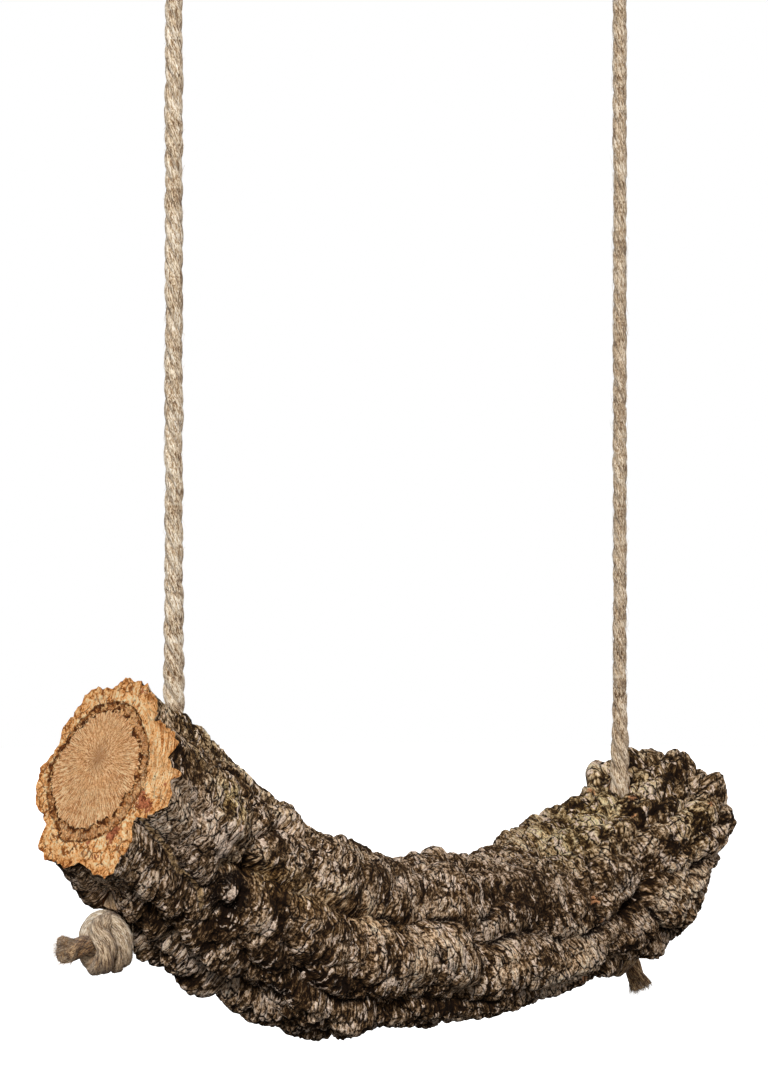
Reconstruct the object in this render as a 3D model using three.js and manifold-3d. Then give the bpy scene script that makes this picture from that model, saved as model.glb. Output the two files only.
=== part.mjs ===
// A curved cork oak branch with its bark on, drilled near both ends and hung on two ropes as a swing.
// Millimetres, +Z up, +X from the left rope to the right one, the front faces -Y.
// The origin is midway between the points where the two rope loops hang on their hooks.

import * as THREE from 'three';
import { mergeVertices } from 'three/addons/utils/BufferGeometryUtils.js';
import Module from 'manifold-3d';

const wasm = await Module();
wasm.setup();

// The ropes: natural fibre, three strands, hanging straight down from their loops.
const ROPE_SPACING = 330;
const ROPE_DIAMETER = 10;
const ROPE_SIDES = 8;
const ROPE_STEPS = 25;
const ROPE_GAP = 0.4;

// The holes drilled for them. Each leans towards the near end of the branch on its way down.
const HOLE_DIAMETER = 14;
const HOLE_SIDES = 12;
const HOLE_STEPS = 8;
const HOLE_OVERRUN = 40;
const BEND_HEIGHT = 16;
const ROPES = {
  left: {
    side: -1,
    mouthZ: -541,
    exit: [-201, 3, -640],
    knotAxis: [-0.98, -0.2, 0],
    tail: [-0.96, -0.28, 0.02],
    tailLength: 17,
  },
  right: {
    side: 1,
    mouthZ: -601,
    exit: [180, 22, -694],
    knotAxis: [0.85, -0.3, -0.42],
    tail: [0.25, -0.28, -0.93],
    tailLength: 23,
  },
};

// The stopper knot below each hole: the rope winds round its own tail, turns back and passes through.
const KNOT_TURNS = 1.4;
const KNOT_START = -50;
const KNOT_ROPE = 11.4;
const KNOT_RADIUS = 11.6;
const KNOT_PITCH = 12;
const KNOT_DROP = 18;
const KNOT_LEAD = 4;
const KNOT_STEPS = 35;
const TAIL_START = 3;
// How it turns back into the middle: [degrees past the last turn, share of the radius, millimetres out].
const KNOT_RETURN = [[45, 0.75, 5], [100, 0.3, 6], [0, 0, -1]];

// The loop at the top of each rope: an eye for the hook, closed by two turns round the standing rope.
// The eye's line from the standing rope over the hook and back: [away from the other rope, back, height].
const EYE_LINE = [
  [7, 1, -34], [15, 0, -23], [17, 0, -11], [12, 0, 0.5], [0, 0, 5],
  [-12, 0, 0.5], [-17, 0, -11], [-15, -1, -23], [-11, -4, -36],
];
const HITCH_RADIUS = 10;
const HITCH_PITCH = 10.4;
const HITCH_TOP = -45;
const HITCH_TURNS = 2;
const HITCH_START = 34;
const LOOP_END = -76;
const LOOP_STEPS = 36;
const LOOP_TAIL = 17;
const TURN_POINTS = 10;

// The branch: points on its axis, and how far the bark stands from the axis on each side.
const STATIONS = [
  { at: [-214, -7, -562], up: 49, down: 54, front: 55, back: 46 },
  { at: [-150, -2, -612], up: 53, down: 57, front: 57, back: 52 },
  { at: [-84, 0, -662], up: 50, down: 56, front: 58, back: 54 },
  { at: [-8, 0, -682], up: 50, down: 50, front: 56, back: 54 },
  { at: [68, 0, -682], up: 50, down: 48, front: 54, back: 52 },
  { at: [146, 0, -660], up: 50, down: 50, front: 55, back: 54 },
  { at: [213, 0, -634], up: 58, down: 54, front: 55, back: 55 },
];
const LEFT_CUT_NORMAL = [-0.927, -0.233, 0.293];
const RIGHT_CUT_NORMAL = [1, 0, 0.03];
const CUT_SETTLE = 95;
const WOOD_RADIUS = 37.5;
const RING_COUNT = 64;
const RING_POINTS = 48;

// Bark positions are [millimetres along the axis, degrees round it]: 0 top, 90 front, 180 under, 270 back.
const MEAN_RADIUS = 54;

// The ragged rim of the cork on the left cut: [degrees, radius].
const LEFT_RIM = [
  [9, 52], [34, 53], [48, 47], [69, 57], [76, 52], [87, 62], [94, 54], [101, 60], [110, 53],
  [124, 42], [134, 49], [155, 59], [181, 50], [193, 54], [216, 57], [229, 47], [247, 51],
  [263, 49], [282, 43], [300, 43], [319, 45], [332, 49], [351, 46],
];
const RIM_FADE = 22;

// Long furrows between the rolls and plates of bark.
const FURROWS = [
  {
    depth: 11, width: 7,
    path: [
      [64, 102], [93, 89], [115, 85], [142, 75], [180, 68], [205, 67], [228, 61], [243, 61],
      [256, 67], [269, 79], [305, 75], [328, 90], [360, 98], [384, 95],
    ],
  },
  { depth: 9, width: 5, path: [[384, 95], [397, 84], [409, 76], [427, 86], [448, 90], [476, 91]] },
  { depth: 9, width: 5, path: [[399, 86], [398, 98], [411, 124], [437, 147]] },
  { depth: 6, width: 6, path: [[0, 123], [20, 124], [56, 126], [89, 129], [122, 132], [149, 146]] },
  { depth: 8, width: 4, path: [[98, 46], [88, 60], [80, 73], [77, 85], [84, 93]] },
  { depth: 9, width: 4.5, path: [[127, 105], [134, 115], [152, 123], [181, 127], [196, 121], [218, 118]] },
  { depth: 7, width: 4.5, path: [[218, 118], [245, 121], [288, 123], [330, 130], [385, 134]] },
  { depth: 7, width: 4.5, path: [[306, -16], [288, 4], [279, 24], [284, 48], [269, 66], [264, 76]] },
  { depth: 4, width: 4, path: [[262, 78], [266, 92], [262, 107], [254, 119]] },
  { depth: 4, width: 4, path: [[219, 67], [223, 80], [228, 95], [230, 112]] },
  { depth: 3.5, width: 4, path: [[173, 70], [178, 84], [176, 98], [180, 118]] },
  { depth: 4.5, width: 4, path: [[128, 74], [121, 60], [117, 46], [110, 26], [116, 4]] },
  { depth: 6, width: 4, path: [[372, 44], [364, 62], [359, 78], [360, 92]] },
  { depth: 6, width: 5, path: [[14, 162], [61, 156], [109, 160], [150, 153], [196, 158], [246, 149]] },
  { depth: 6, width: 6, path: [[0, 48], [26, 44], [55, 50], [82, 40], [104, 46]] },
  { depth: 5, width: 6, path: [[0, 12], [34, 6], [70, 14], [104, 4], [140, -6]] },
  {
    depth: 7, width: 6,
    path: [[0, 184], [48, 190], [96, 182], [150, 193], [230, 184], [310, 192], [390, 181], [476, 187]],
  },
  {
    depth: 10, width: 7,
    path: [[0, 229], [58, 238], [112, 228], [170, 240], [232, 232], [292, 244], [352, 236], [476, 241]],
  },
  {
    depth: 8, width: 6,
    path: [[0, 285], [60, 294], [126, 303], [200, 296], [262, 307], [330, 298], [402, 311], [476, 302]],
  },
  { depth: 6, width: 5, path: [[196, 240], [206, 258], [201, 278], [209, 296]] },
  { depth: 6, width: 5, path: [[330, 240], [322, 258], [332, 278], [326, 298]] },
  { depth: 6, width: 5, path: [[84, 236], [92, 256], [86, 276], [94, 298]] },
  { depth: 5, width: 5, path: [[420, 246], [412, 268], [422, 290], [414, 308]] },
];
const SHOULDER_WIDTH = 3;
const SHOULDER_SHARE = 0.35;

// Single swellings, stubs and pits: where, half sizes along and round the branch, height.
const LUMPS = [
  { at: [80, 112], size: [12, 11], height: -9 },
  { at: [80, 112], size: [6, 6], height: 13 },
  { at: [48, 84], size: [22, 20], height: 5 },
  { at: [30, 143], size: [14, 12], height: 4 },
  { at: [118, 112], size: [9, 9], height: 5 },
  { at: [108, 64], size: [14, 12], height: 3 },
  { at: [152, 99], size: [14, 15], height: 4.5 },
  { at: [199, 90], size: [17, 17], height: 4.5 },
  { at: [246, 90], size: [17, 22], height: 6.5 },
  { at: [160, 42], size: [26, 20], height: 3 },
  { at: [215, 36], size: [28, 20], height: 4 },
  { at: [256, 34], size: [18, 22], height: 4.5 },
  { at: [316, 44], size: [26, 22], height: 5.5 },
  { at: [300, 98], size: [22, 14], height: 4 },
  { at: [342, 116], size: [18, 12], height: 3.5 },
  { at: [384, 60], size: [13, 20], height: 5 },
  { at: [321, 71], size: [7, 7], height: -5 },
  { at: [321, 71], size: [3.5, 3.5], height: 4 },
  { at: [425, 105], size: [19, 17], height: 10 },
  { at: [474, 122], size: [20, 30], height: -20 },
  { at: [448, 66], size: [20, 15], height: 6 },
  { at: [438, -32], size: [13, 14], height: 15 },
  { at: [458, -22], size: [9, 10], height: 8 },
  { at: [460, 11], size: [10, 11], height: 6 },
  { at: [470, 43], size: [9, 10], height: 8 },
  { at: [385, 0], size: [4, 4], height: -5 },
  { at: [411, 21], size: [8, 5], height: -5 },
  { at: [383, -26], size: [9, 9], height: 5.5 },
  { at: [358, -23], size: [14, 12], height: 6 },
  { at: [278, -14], size: [12, 10], height: 4 },
  { at: [247, -9], size: [10, 9], height: 5 },
  { at: [188, -6], size: [9, 9], height: 3 },
  { at: [167, 4], size: [7, 9], height: 5 },
  { at: [122, 19], size: [10, 11], height: -6 },
  { at: [82, 17], size: [13, 14], height: -6 },
  { at: [53, 22], size: [10, 12], height: -3.5 },
  { at: [30, 22], size: [9, 10], height: 4 },
  { at: [30, 187], size: [15, 15], height: -5 },
  { at: [434, 203], size: [19, 19], height: -14 },
  { at: [80, 162], size: [8, 7], height: -5 },
  { at: [125, 160], size: [8, 8], height: -7 },
  { at: [141, 145], size: [7, 6], height: -5 },
  { at: [166, 140], size: [10, 9], height: 5 },
  { at: [166, 140], size: [4, 4], height: -6 },
  { at: [196, 138], size: [12, 8], height: 4 },
  { at: [104, 146], size: [11, 8], height: 4 },
  { at: [62, 142], size: [12, 8], height: 4 },
  { at: [150, 172], size: [16, 10], height: 1 },
  { at: [236, 168], size: [16, 14], height: -6 },
  { at: [440, 164], size: [18, 14], height: 8 },
  { at: [118, 268], size: [22, 18], height: 5 },
  { at: [262, 270], size: [24, 18], height: 5 },
  { at: [380, 272], size: [22, 18], height: 6 },
  { at: [450, 270], size: [14, 18], height: 5 },
  { at: [290, 330], size: [20, 14], height: 3 },
  { at: [400, -29], size: [18, 13], height: 8 },
  { at: [474, 22], size: [7, 8], height: -6 },
  { at: [418, 146], size: [14, 10], height: 4 },
  { at: [322, 156], size: [16, 12], height: -5 },
  { at: [274, 150], size: [18, 12], height: -8 },
  { at: [366, 152], size: [18, 12], height: 4 },
  { at: [98, 192], size: [26, 22], height: 10 },
  { at: [42, 206], size: [20, 17], height: 8 },
  { at: [204, -3], size: [12, 12], height: 3 },
  { at: [136, 10], size: [8, 9], height: -5 },
  { at: [66, 28], size: [8, 8], height: -4 },
  { at: [128, 178], size: [14, 12], height: 3.5 },
  { at: [466, 87], size: [12, 12], height: 6 },
  { at: [24, 208], size: [13, 14], height: 6 },
  { at: [310, -24], size: [22, 14], height: 4 },
];

// Blocky relief over the whole bark: lumps of one size, higher where the bark is roughest.
const CELL_SIZE = 17;
const CELL_STRETCH = 1.25;
const CELL_HEIGHT = 3.2;
const SWELL_SIZE = 46;
const SWELL_HEIGHT = 4;
const ROUGH_ZONES = [
  { at: [450, 20], size: [60, 110], height: 3.2 },
  { at: [420, 180], size: [70, 60], height: 2.4 },
  { at: [130, 160], size: [90, 34], height: 3 },
  { at: [60, 15], size: [60, 50], height: 2.6 },
  { at: [230, 290], size: [200, 50], height: 2 },
];

const BARK = { color: 0x4a3d31, roughness: 0.95, metalness: 0 };
const FIBRE = { color: 0xc2aa84, roughness: 0.9, metalness: 0 };

const vector = ([x, y, z]) => new THREE.Vector3(x, y, z);
const smooth = (x) => x * x * (3 - 2 * x);
const clamp01 = (x) => Math.min(1, Math.max(0, x));

// Catmull-Rom through evenly spaced values, t from 0 to 1.
function through(values, t) {
  const x = clamp01(t) * (values.length - 1);
  const i = Math.min(Math.floor(x), values.length - 2);
  const w = x - i;
  const b = values[i];
  const c = values[i + 1];
  const a = i > 0 ? values[i - 1] : 2 * b - c;
  const d = i + 2 < values.length ? values[i + 2] : 2 * c - b;
  const bend = (2 * a - 5 * b + 4 * c - d) * w ** 2 + (3 * b - a - 3 * c + d) * w ** 3;
  return 0.5 * (2 * b + (c - a) * w + bend);
}

const stations = STATIONS.map((station) => vector(station.at));
const axis = new THREE.CatmullRomCurve3(stations, false, 'catmullrom', 0.5);
axis.arcLengthDivisions = 1200;
const BRANCH_LENGTH = axis.getLength();

// The plane of one ring of bark: square to the axis, turning into the saw cut near each end.
function ringAt(s) {
  const u = clamp01(s / BRANCH_LENGTH);
  const t = axis.getUtoTmapping(u);
  const nearLeft = 1 - smooth(clamp01(s / CUT_SETTLE));
  const nearRight = 1 - smooth(clamp01((BRANCH_LENGTH - s) / CUT_SETTLE));
  const along = axis.getTangent(t)
    .multiplyScalar((1 - nearLeft) * (1 - nearRight))
    .addScaledVector(vector(LEFT_CUT_NORMAL), -nearLeft)
    .addScaledVector(vector(RIGHT_CUT_NORMAL), nearRight)
    .normalize();
  const top = new THREE.Vector3(0, 0, 1).addScaledVector(along, -along.z).normalize();
  const front = new THREE.Vector3().crossVectors(along, top);
  const reach = {};
  for (const side of ['up', 'down', 'front', 'back']) {
    reach[side] = through(STATIONS.map((station) => station[side]), t);
  }
  return { centre: axis.getPoint(t), top, front, reach };
}

// Smooth radius of the branch before any relief.
function plainRadius(reach, phi) {
  const vertical = Math.cos(phi) * (Math.cos(phi) > 0 ? reach.up : reach.down);
  const sideways = Math.sin(phi) * (Math.sin(phi) > 0 ? reach.front : reach.back);
  return Math.hypot(vertical, sideways);
}

// Radius of the left rim, eased between its points.
function rimRadius(degrees) {
  const turn = ((degrees % 360) + 360) % 360;
  const points = [...LEFT_RIM, [LEFT_RIM[0][0] + 360, LEFT_RIM[0][1]]];
  const at = turn < LEFT_RIM[0][0] ? turn + 360 : turn;
  const i = points.findIndex(([angle], k) => k > 0 && at <= angle);
  const [a, ra] = points[i - 1];
  const [b, rb] = points[i];
  return ra + (rb - ra) * smooth((at - a) / (b - a));
}

// A repeatable random number from 0 to 1 for a lattice point.
function scatter(i, j, k, seed) {
  const value = Math.sin(i * 127.1 + j * 311.7 + k * 74.7 + seed * 19.19) * 43758.5453;
  return value - Math.floor(value);
}

// Smooth noise from -1 to 1, one wave per unit.
function swell(x, y, z, seed) {
  const [i, j, k] = [Math.floor(x), Math.floor(y), Math.floor(z)];
  const [u, v, w] = [smooth(x - i), smooth(y - j), smooth(z - k)];
  let sum = 0;
  for (let corner = 0; corner < 8; corner += 1) {
    const [a, b, c] = [corner & 1, (corner >> 1) & 1, corner >> 2];
    const share = (a ? u : 1 - u) * (b ? v : 1 - v) * (c ? w : 1 - w);
    sum += share * scatter(i + a, j + b, k + c, seed);
  }
  return 2 * sum - 1;
}

// Distance to the nearest of one scattered point per unit cell.
function nearest(x, y, z, seed) {
  const [i, j, k] = [Math.floor(x), Math.floor(y), Math.floor(z)];
  let best = Infinity;
  for (let a = -1; a <= 1; a += 1) {
    for (let b = -1; b <= 1; b += 1) {
      for (let c = -1; c <= 1; c += 1) {
        const dx = i + a + scatter(i + a, j + b, k + c, seed) - x;
        const dy = j + b + scatter(i + a, j + b, k + c, seed + 1) - y;
        const dz = k + c + scatter(i + a, j + b, k + c, seed + 2) - z;
        best = Math.min(best, Math.hypot(dx, dy, dz));
      }
    }
  }
  return best;
}

// Millimetres round the branch between two angles, the short way.
function arcBetween(a, b) {
  const turn = ((a - b + 540) % 360 + 360) % 360 - 180;
  return THREE.MathUtils.degToRad(turn) * MEAN_RADIUS;
}

function furrowDepth(furrow, s, degrees) {
  let near = Infinity;
  for (let i = 1; i < furrow.path.length; i += 1) {
    const [s0, a0] = furrow.path[i - 1];
    const [s1, a1] = furrow.path[i];
    const run = s1 - s0;
    const rise = arcBetween(a1, a0);
    const across = arcBetween(degrees, a0);
    const k = clamp01(((s - s0) * run + across * rise) / (run * run + rise * rise));
    near = Math.min(near, Math.hypot(s - s0 - k * run, across - k * rise));
  }
  const groove = Math.exp(-((near / furrow.width) ** 2));
  const shoulder = Math.exp(-((near / (furrow.width * SHOULDER_WIDTH)) ** 2));
  return furrow.depth * ((1 - SHOULDER_SHARE) * groove + SHOULDER_SHARE * shoulder);
}

function bump({ at, size, height }, s, degrees) {
  return height * Math.exp(-(((s - at[0]) / size[0]) ** 2) - (arcBetween(degrees, at[1]) / size[1]) ** 2);
}

// Height of the bark above the smooth form.
function relief(s, degrees) {
  const phi = THREE.MathUtils.degToRad(degrees);
  const [y, z] = [Math.cos(phi) * MEAN_RADIUS, Math.sin(phi) * MEAN_RADIUS];
  let height = SWELL_HEIGHT * swell(s / SWELL_SIZE, y / SWELL_SIZE, z / SWELL_SIZE, 3);
  for (const furrow of FURROWS) height -= furrowDepth(furrow, s, degrees);
  for (const lump of LUMPS) height += bump(lump, s, degrees);
  const rough = ROUGH_ZONES.reduce((sum, zone) => sum + bump(zone, s, degrees), CELL_HEIGHT);
  const cell = nearest(s / (CELL_SIZE * CELL_STRETCH), y / CELL_SIZE, z / CELL_SIZE, 11);
  return height + rough * (1 - 2 * Math.min(cell, 1));
}

// Radius of the bark's skin, which meets the left rim at the saw cut.
function skinRadius(ring, s, degrees) {
  const rim = Math.exp(-s / RIM_FADE);
  const bark = plainRadius(ring.reach, THREE.MathUtils.degToRad(degrees)) + relief(s, degrees);
  return bark * (1 - rim) + rimRadius(degrees) * rim;
}

function ringPoint(ring, degrees, radius) {
  const phi = THREE.MathUtils.degToRad(degrees);
  return ring.centre.clone()
    .addScaledVector(ring.top, Math.cos(phi) * radius)
    .addScaledVector(ring.front, Math.sin(phi) * radius);
}

// The whole skin: rings of bark, and each cut face as the ring of its wood and a middle point.
function branchGeometry() {
  const positions = [];
  const faces = [];
  const addRing = (ring, radiusAt) => {
    for (let j = 0; j < RING_POINTS; j += 1) {
      const degrees = (360 * j) / RING_POINTS;
      positions.push(...ringPoint(ring, degrees, radiusAt(degrees)).toArray());
    }
  };
  const left = ringAt(0);
  const right = ringAt(BRANCH_LENGTH);
  addRing(left, () => WOOD_RADIUS);
  for (let i = 0; i < RING_COUNT; i += 1) {
    const s = (BRANCH_LENGTH * i) / (RING_COUNT - 1);
    const ring = ringAt(s);
    addRing(ring, (degrees) => skinRadius(ring, s, degrees));
  }
  addRing(right, () => WOOD_RADIUS);
  const rows = RING_COUNT + 2;
  for (let i = 0; i + 1 < rows; i += 1) {
    for (let j = 0; j < RING_POINTS; j += 1) {
      const [a, b] = [i * RING_POINTS + j, i * RING_POINTS + ((j + 1) % RING_POINTS)];
      const [c, d] = [a + RING_POINTS, b + RING_POINTS];
      faces.push(a, b, d, a, d, c);
    }
  }
  const first = positions.length / 3;
  positions.push(...left.centre.toArray(), ...right.centre.toArray());
  for (let j = 0; j < RING_POINTS; j += 1) {
    const next = (j + 1) % RING_POINTS;
    const last = (rows - 1) * RING_POINTS;
    faces.push(first, next, j, first + 1, last + j, last + next);
  }
  const geometry = new THREE.BufferGeometry();
  geometry.setAttribute('position', new THREE.Float32BufferAttribute(positions, 3));
  geometry.setIndex(faces);
  return geometry;
}

function toSolid(geometry) {
  const bare = geometry.clone();
  bare.deleteAttribute('normal');
  bare.deleteAttribute('uv');
  const merged = mergeVertices(bare, 1e-4);
  return new wasm.Manifold(new wasm.Mesh({
    numProp: 3,
    vertProperties: Float32Array.from(merged.attributes.position.array),
    triVerts: Uint32Array.from(merged.index.array),
  }));
}

function toGeometry(solid) {
  const mesh = solid.getMesh();
  const geometry = new THREE.BufferGeometry();
  geometry.setAttribute('position', new THREE.BufferAttribute(mesh.vertProperties, 3));
  geometry.setIndex(new THREE.BufferAttribute(mesh.triVerts, 1));
  geometry.computeVertexNormals();
  return geometry;
}

// A round bar of the given diameter along a curve.
function bar(points, diameter, sides, steps) {
  const section = new THREE.Shape();
  for (let i = 0; i < sides; i += 1) {
    const turn = (2 * Math.PI * (i + 0.5)) / sides;
    const place = [(Math.cos(turn) * diameter) / 2, (Math.sin(turn) * diameter) / 2];
    if (i === 0) section.moveTo(...place);
    else section.lineTo(...place);
  }
  section.closePath();
  const curve = new THREE.CatmullRomCurve3(points);
  return new THREE.ExtrudeGeometry(section, { steps, extrudePath: curve });
}

// Where a rope bends from hanging into its hole, and the way through the wood.
function holeLine({ side, mouthZ, exit }) {
  const mouth = new THREE.Vector3((side * ROPE_SPACING) / 2, 0, mouthZ);
  const way = vector(exit).sub(mouth);
  return { mouth, way: way.clone().normalize(), depth: way.length() };
}

// The stopper knot where the rope leaves its hole, and the cut tail.
function stopperPoints(rope) {
  const { mouth, way, depth } = holeLine(rope);
  const out = vector(rope.knotAxis).normalize();
  const middle = mouth.clone().addScaledVector(way, depth + KNOT_DROP);
  const down = new THREE.Vector3(0, 0, -1).addScaledVector(out, out.z).normalize();
  const front = new THREE.Vector3().crossVectors(down, out).multiplyScalar(rope.side);
  const halfWidth = (KNOT_PITCH * KNOT_TURNS) / 2;
  const around = (degrees, radius, along) => {
    const turn = THREE.MathUtils.degToRad(degrees);
    return middle.clone()
      .addScaledVector(front, Math.cos(turn) * radius)
      .addScaledVector(down, Math.sin(turn) * radius)
      .addScaledVector(out, along);
  };
  const start = mouth.clone().addScaledVector(way, depth + ROPE_GAP);
  const points = [start, start.clone().addScaledVector(way, KNOT_LEAD)];
  const count = Math.round(KNOT_TURNS * TURN_POINTS);
  for (let i = 0; i <= count; i += 1) {
    const turned = i / TURN_POINTS;
    points.push(around(KNOT_START + 360 * turned, KNOT_RADIUS, halfWidth - KNOT_PITCH * turned));
  }
  const end = KNOT_START + (360 * count) / TURN_POINTS;
  for (const [past, share, beyond] of KNOT_RETURN) {
    points.push(around(end + past, KNOT_RADIUS * share, -halfWidth - beyond));
  }
  const leave = around(0, 0, halfWidth + TAIL_START);
  points.push(middle.clone(), leave);
  const tail = vector(rope.tail).normalize();
  for (const share of [0.5, 1]) points.push(leave.clone().addScaledVector(tail, rope.tailLength * share));
  return points;
}

// The standing rope, the hanging eye, the turns that close it and the short end beside the rope.
function loopPoints(side) {
  const at = (out, y, z) => new THREE.Vector3(side * (ROPE_SPACING / 2 + out), y, z);
  const points = [at(0, 0, LOOP_END), at(0, 0, HITCH_TOP - BEND_HEIGHT), at(0, 0, HITCH_TOP)];
  for (const place of EYE_LINE) points.push(at(...place));
  const count = HITCH_TURNS * TURN_POINTS;
  for (let i = 0; i <= count; i += 1) {
    const turned = i / TURN_POINTS;
    const turn = THREE.MathUtils.degToRad(HITCH_START + 360 * turned);
    const height = HITCH_TOP - HITCH_PITCH * turned;
    points.push(at(-Math.cos(turn) * HITCH_RADIUS, -Math.sin(turn) * HITCH_RADIUS, height));
  }
  const [before, last] = points.slice(-2);
  const leave = last.clone().sub(before).normalize();
  for (const share of [0.5, 1]) points.push(last.clone().addScaledVector(leave, LOOP_TAIL * share));
  return points;
}

// The rope from its loop straight down to the hole and on through the wood.
function ropePoints(rope) {
  const { mouth, way, depth } = holeLine(rope);
  const top = new THREE.Vector3(mouth.x, 0, LOOP_END - ROPE_GAP);
  const points = [];
  for (const share of [0, 0.2, 0.4, 0.6, 0.8]) points.push(top.clone().lerp(mouth, share));
  points.push(mouth.clone().setZ(mouth.z + BEND_HEIGHT));
  for (const share of [0, 0.15, 0.4, 0.7, 1]) points.push(mouth.clone().addScaledVector(way, depth * share));
  return points;
}

// The bored way for the rope, run on past the bark at both ends.
function holePoints(rope) {
  const { mouth, way, depth } = holeLine(rope);
  const points = [];
  for (const height of [HOLE_OVERRUN, BEND_HEIGHT, 0]) points.push(mouth.clone().setZ(mouth.z + height));
  for (const share of [0.16, 0.4, 0.7, 1]) points.push(mouth.clone().addScaledVector(way, depth * share));
  points.push(mouth.clone().addScaledVector(way, depth + HOLE_OVERRUN));
  return points;
}

function namedMesh(name, geometry, finish) {
  const mesh = new THREE.Mesh(geometry, new THREE.MeshStandardMaterial(finish));
  mesh.name = name;
  return mesh;
}

let branch = toSolid(branchGeometry());
for (const rope of Object.values(ROPES)) {
  branch = branch.subtract(toSolid(bar(holePoints(rope), HOLE_DIAMETER, HOLE_SIDES, HOLE_STEPS)));
}

const swing = new THREE.Group();
swing.add(namedMesh('branch', toGeometry(branch), BARK));
for (const [name, rope] of Object.entries(ROPES)) {
  const straight = bar(ropePoints(rope), ROPE_DIAMETER, ROPE_SIDES, ROPE_STEPS);
  const stopper = bar(stopperPoints(rope), KNOT_ROPE, ROPE_SIDES, KNOT_STEPS);
  const loop = bar(loopPoints(rope.side), ROPE_DIAMETER, ROPE_SIDES, LOOP_STEPS);
  swing.add(namedMesh(`rope_${name}`, straight, FIBRE));
  swing.add(namedMesh(`stopper_${name}`, stopper, FIBRE));
  swing.add(namedMesh(`loop_${name}`, loop, FIBRE));
}

export default swing;
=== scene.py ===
import math

import bmesh
import bpy
import numpy as np
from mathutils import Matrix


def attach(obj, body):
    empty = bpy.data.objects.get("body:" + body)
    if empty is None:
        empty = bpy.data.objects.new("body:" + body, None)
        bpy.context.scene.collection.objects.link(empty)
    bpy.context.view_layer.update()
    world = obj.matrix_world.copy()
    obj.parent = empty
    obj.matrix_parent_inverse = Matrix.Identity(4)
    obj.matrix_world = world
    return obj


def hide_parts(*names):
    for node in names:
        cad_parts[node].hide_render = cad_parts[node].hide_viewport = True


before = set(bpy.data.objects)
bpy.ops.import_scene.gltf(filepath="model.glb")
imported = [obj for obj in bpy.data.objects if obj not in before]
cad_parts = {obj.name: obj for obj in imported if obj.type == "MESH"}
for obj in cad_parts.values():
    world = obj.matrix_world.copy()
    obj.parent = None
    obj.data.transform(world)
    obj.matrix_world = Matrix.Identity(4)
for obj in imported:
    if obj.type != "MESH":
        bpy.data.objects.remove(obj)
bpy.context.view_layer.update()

# A cork oak branch hung on two ropes. Places and sizes below are millimetres in the row frame.
MM = 0.001

# The photograph's camera: level, to the left of the branch's front, with its focal length in photo pixels.
CAMERA_PLACE = (-700.4, -968.2, -435.0)
CAMERA_TURN = -35.0
FOCAL_PIXELS = 1980
PHOTO_LONG_SIDE = 1071
SENSOR_WIDTH = 36.0

# The ropes: what the part's source gives, repeated. Added to it are how soiled a rope and its stopper knot
# are, at even steps from the upper end on, which on the right knot's tail is also painted shade, and girth:
# height above the hole's mouth, how many times as wide.
ROPE_SPACING = 330
ROPE_DIAMETER = 10
HOLE_DIAMETER = 14
HOLE_OVERRUN = 40
BEND_HEIGHT = 16
ROPES = {
    "left": {
        "side": -1,
        "mouth_height": -541,
        "exit": (-201, 3, -640),
        "knot_axis": (-0.98, -0.2, 0),
        "tail": (-0.96, -0.28, 0.02),
        "tail_length": 17,
        "soil_and_shade": (0, 0, 0.05, 0, 0.05, 0, 0.05, 0.05, 0.15, 0.9),
        "knot_soil_and_shade": (0.45, 0.25, 0.0, 0.0, 0.2, 0.7, 0.9),
        "girth": ((0, 1.3), (40, 1.2), (90, 1.0)),
    },
    "right": {
        "side": 1,
        "mouth_height": -601,
        "exit": (180, 22, -694),
        "knot_axis": (0.85, -0.3, -0.42),
        "tail": (0.25, -0.28, -0.93),
        "tail_length": 23,
        "soil_and_shade": (0.2, 0.25, 0.2, 0.3, 0.25, 0.3, 0.3, 0.35, 0.4, 0.9),
        # The right knot's brown is part dirt and part painted shade on its tail.
        "knot_soil_and_shade": (0.9, 0.9, 1.0),
        "girth": ((0, 1.36), (26, 1.3), (46, 0.95), (64, 0.84)),
    },
}
JOINT_GAP = 0.4
TURN_POINTS = 10

# A stopper knot: a coil whose middle is below the branch, then back through its middle to the tail. The way
# back is given as degrees past the coil's end, share of its radius, and millimetres beyond it.
KNOT_ROPE = 11.4
KNOT_DROP = 18
KNOT_LEAD = 4
KNOT_START = -50
KNOT_TURNS = 1.4
KNOT_RADIUS = 11.6
KNOT_PITCH = 12
KNOT_RETURN = ((45, 0.75, 5), (100, 0.3, 6), (0, 0, -1))
TAIL_START = 3

# A top loop: its eye as places out from the rope, back and up, then a coil down round the rope, and a tail.
EYE_LINE = (
    (7, 1, -34), (15, 0, -23), (17, 0, -11), (12, 0, 0.5), (0, 0, 5),
    (-12, 0, 0.5), (-17, 0, -11), (-15, -1, -23), (-11, -4, -36),
)
HITCH_TOP = -45
HITCH_START = 34
HITCH_TURNS = 2
HITCH_RADIUS = 10
HITCH_PITCH = 10.4
LOOP_TAIL = 17
LOOP_END = -76

# How the rope is laid: three strands of yarns, thicker and thinner as they go. A strand's radius is a share
# of the rope's diameter.
STRANDS = 3
LAY_LENGTH = 37
STRAND_SHARE = 0.3
STRAND_WIDENING = 1.1
STRAND_SIDES = 22
YARNS = 7
YARN_DEPTH = 0.06
UNEVEN_LENGTH = 26
RING_STEP = 1.1
SPLINE_STEPS = 24

# Loose fibres: how many each piece has, the share of them that lies on the rope, how long they are and how
# far they reach off the rope at most. This near to an end they point away from it.
LOOSE_FIBRES = {"stopper_knot": 1500, "top_loop": 800, "hanging_rope": 2400}
LYING_SHARE = 0.75
LOOSE_LENGTH = 10
LOOSE_REACH = 2.3
LOOSE_END = 20
FIBRE_RADIUS = 0.085
FIBRE_ROWS = 6

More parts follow.
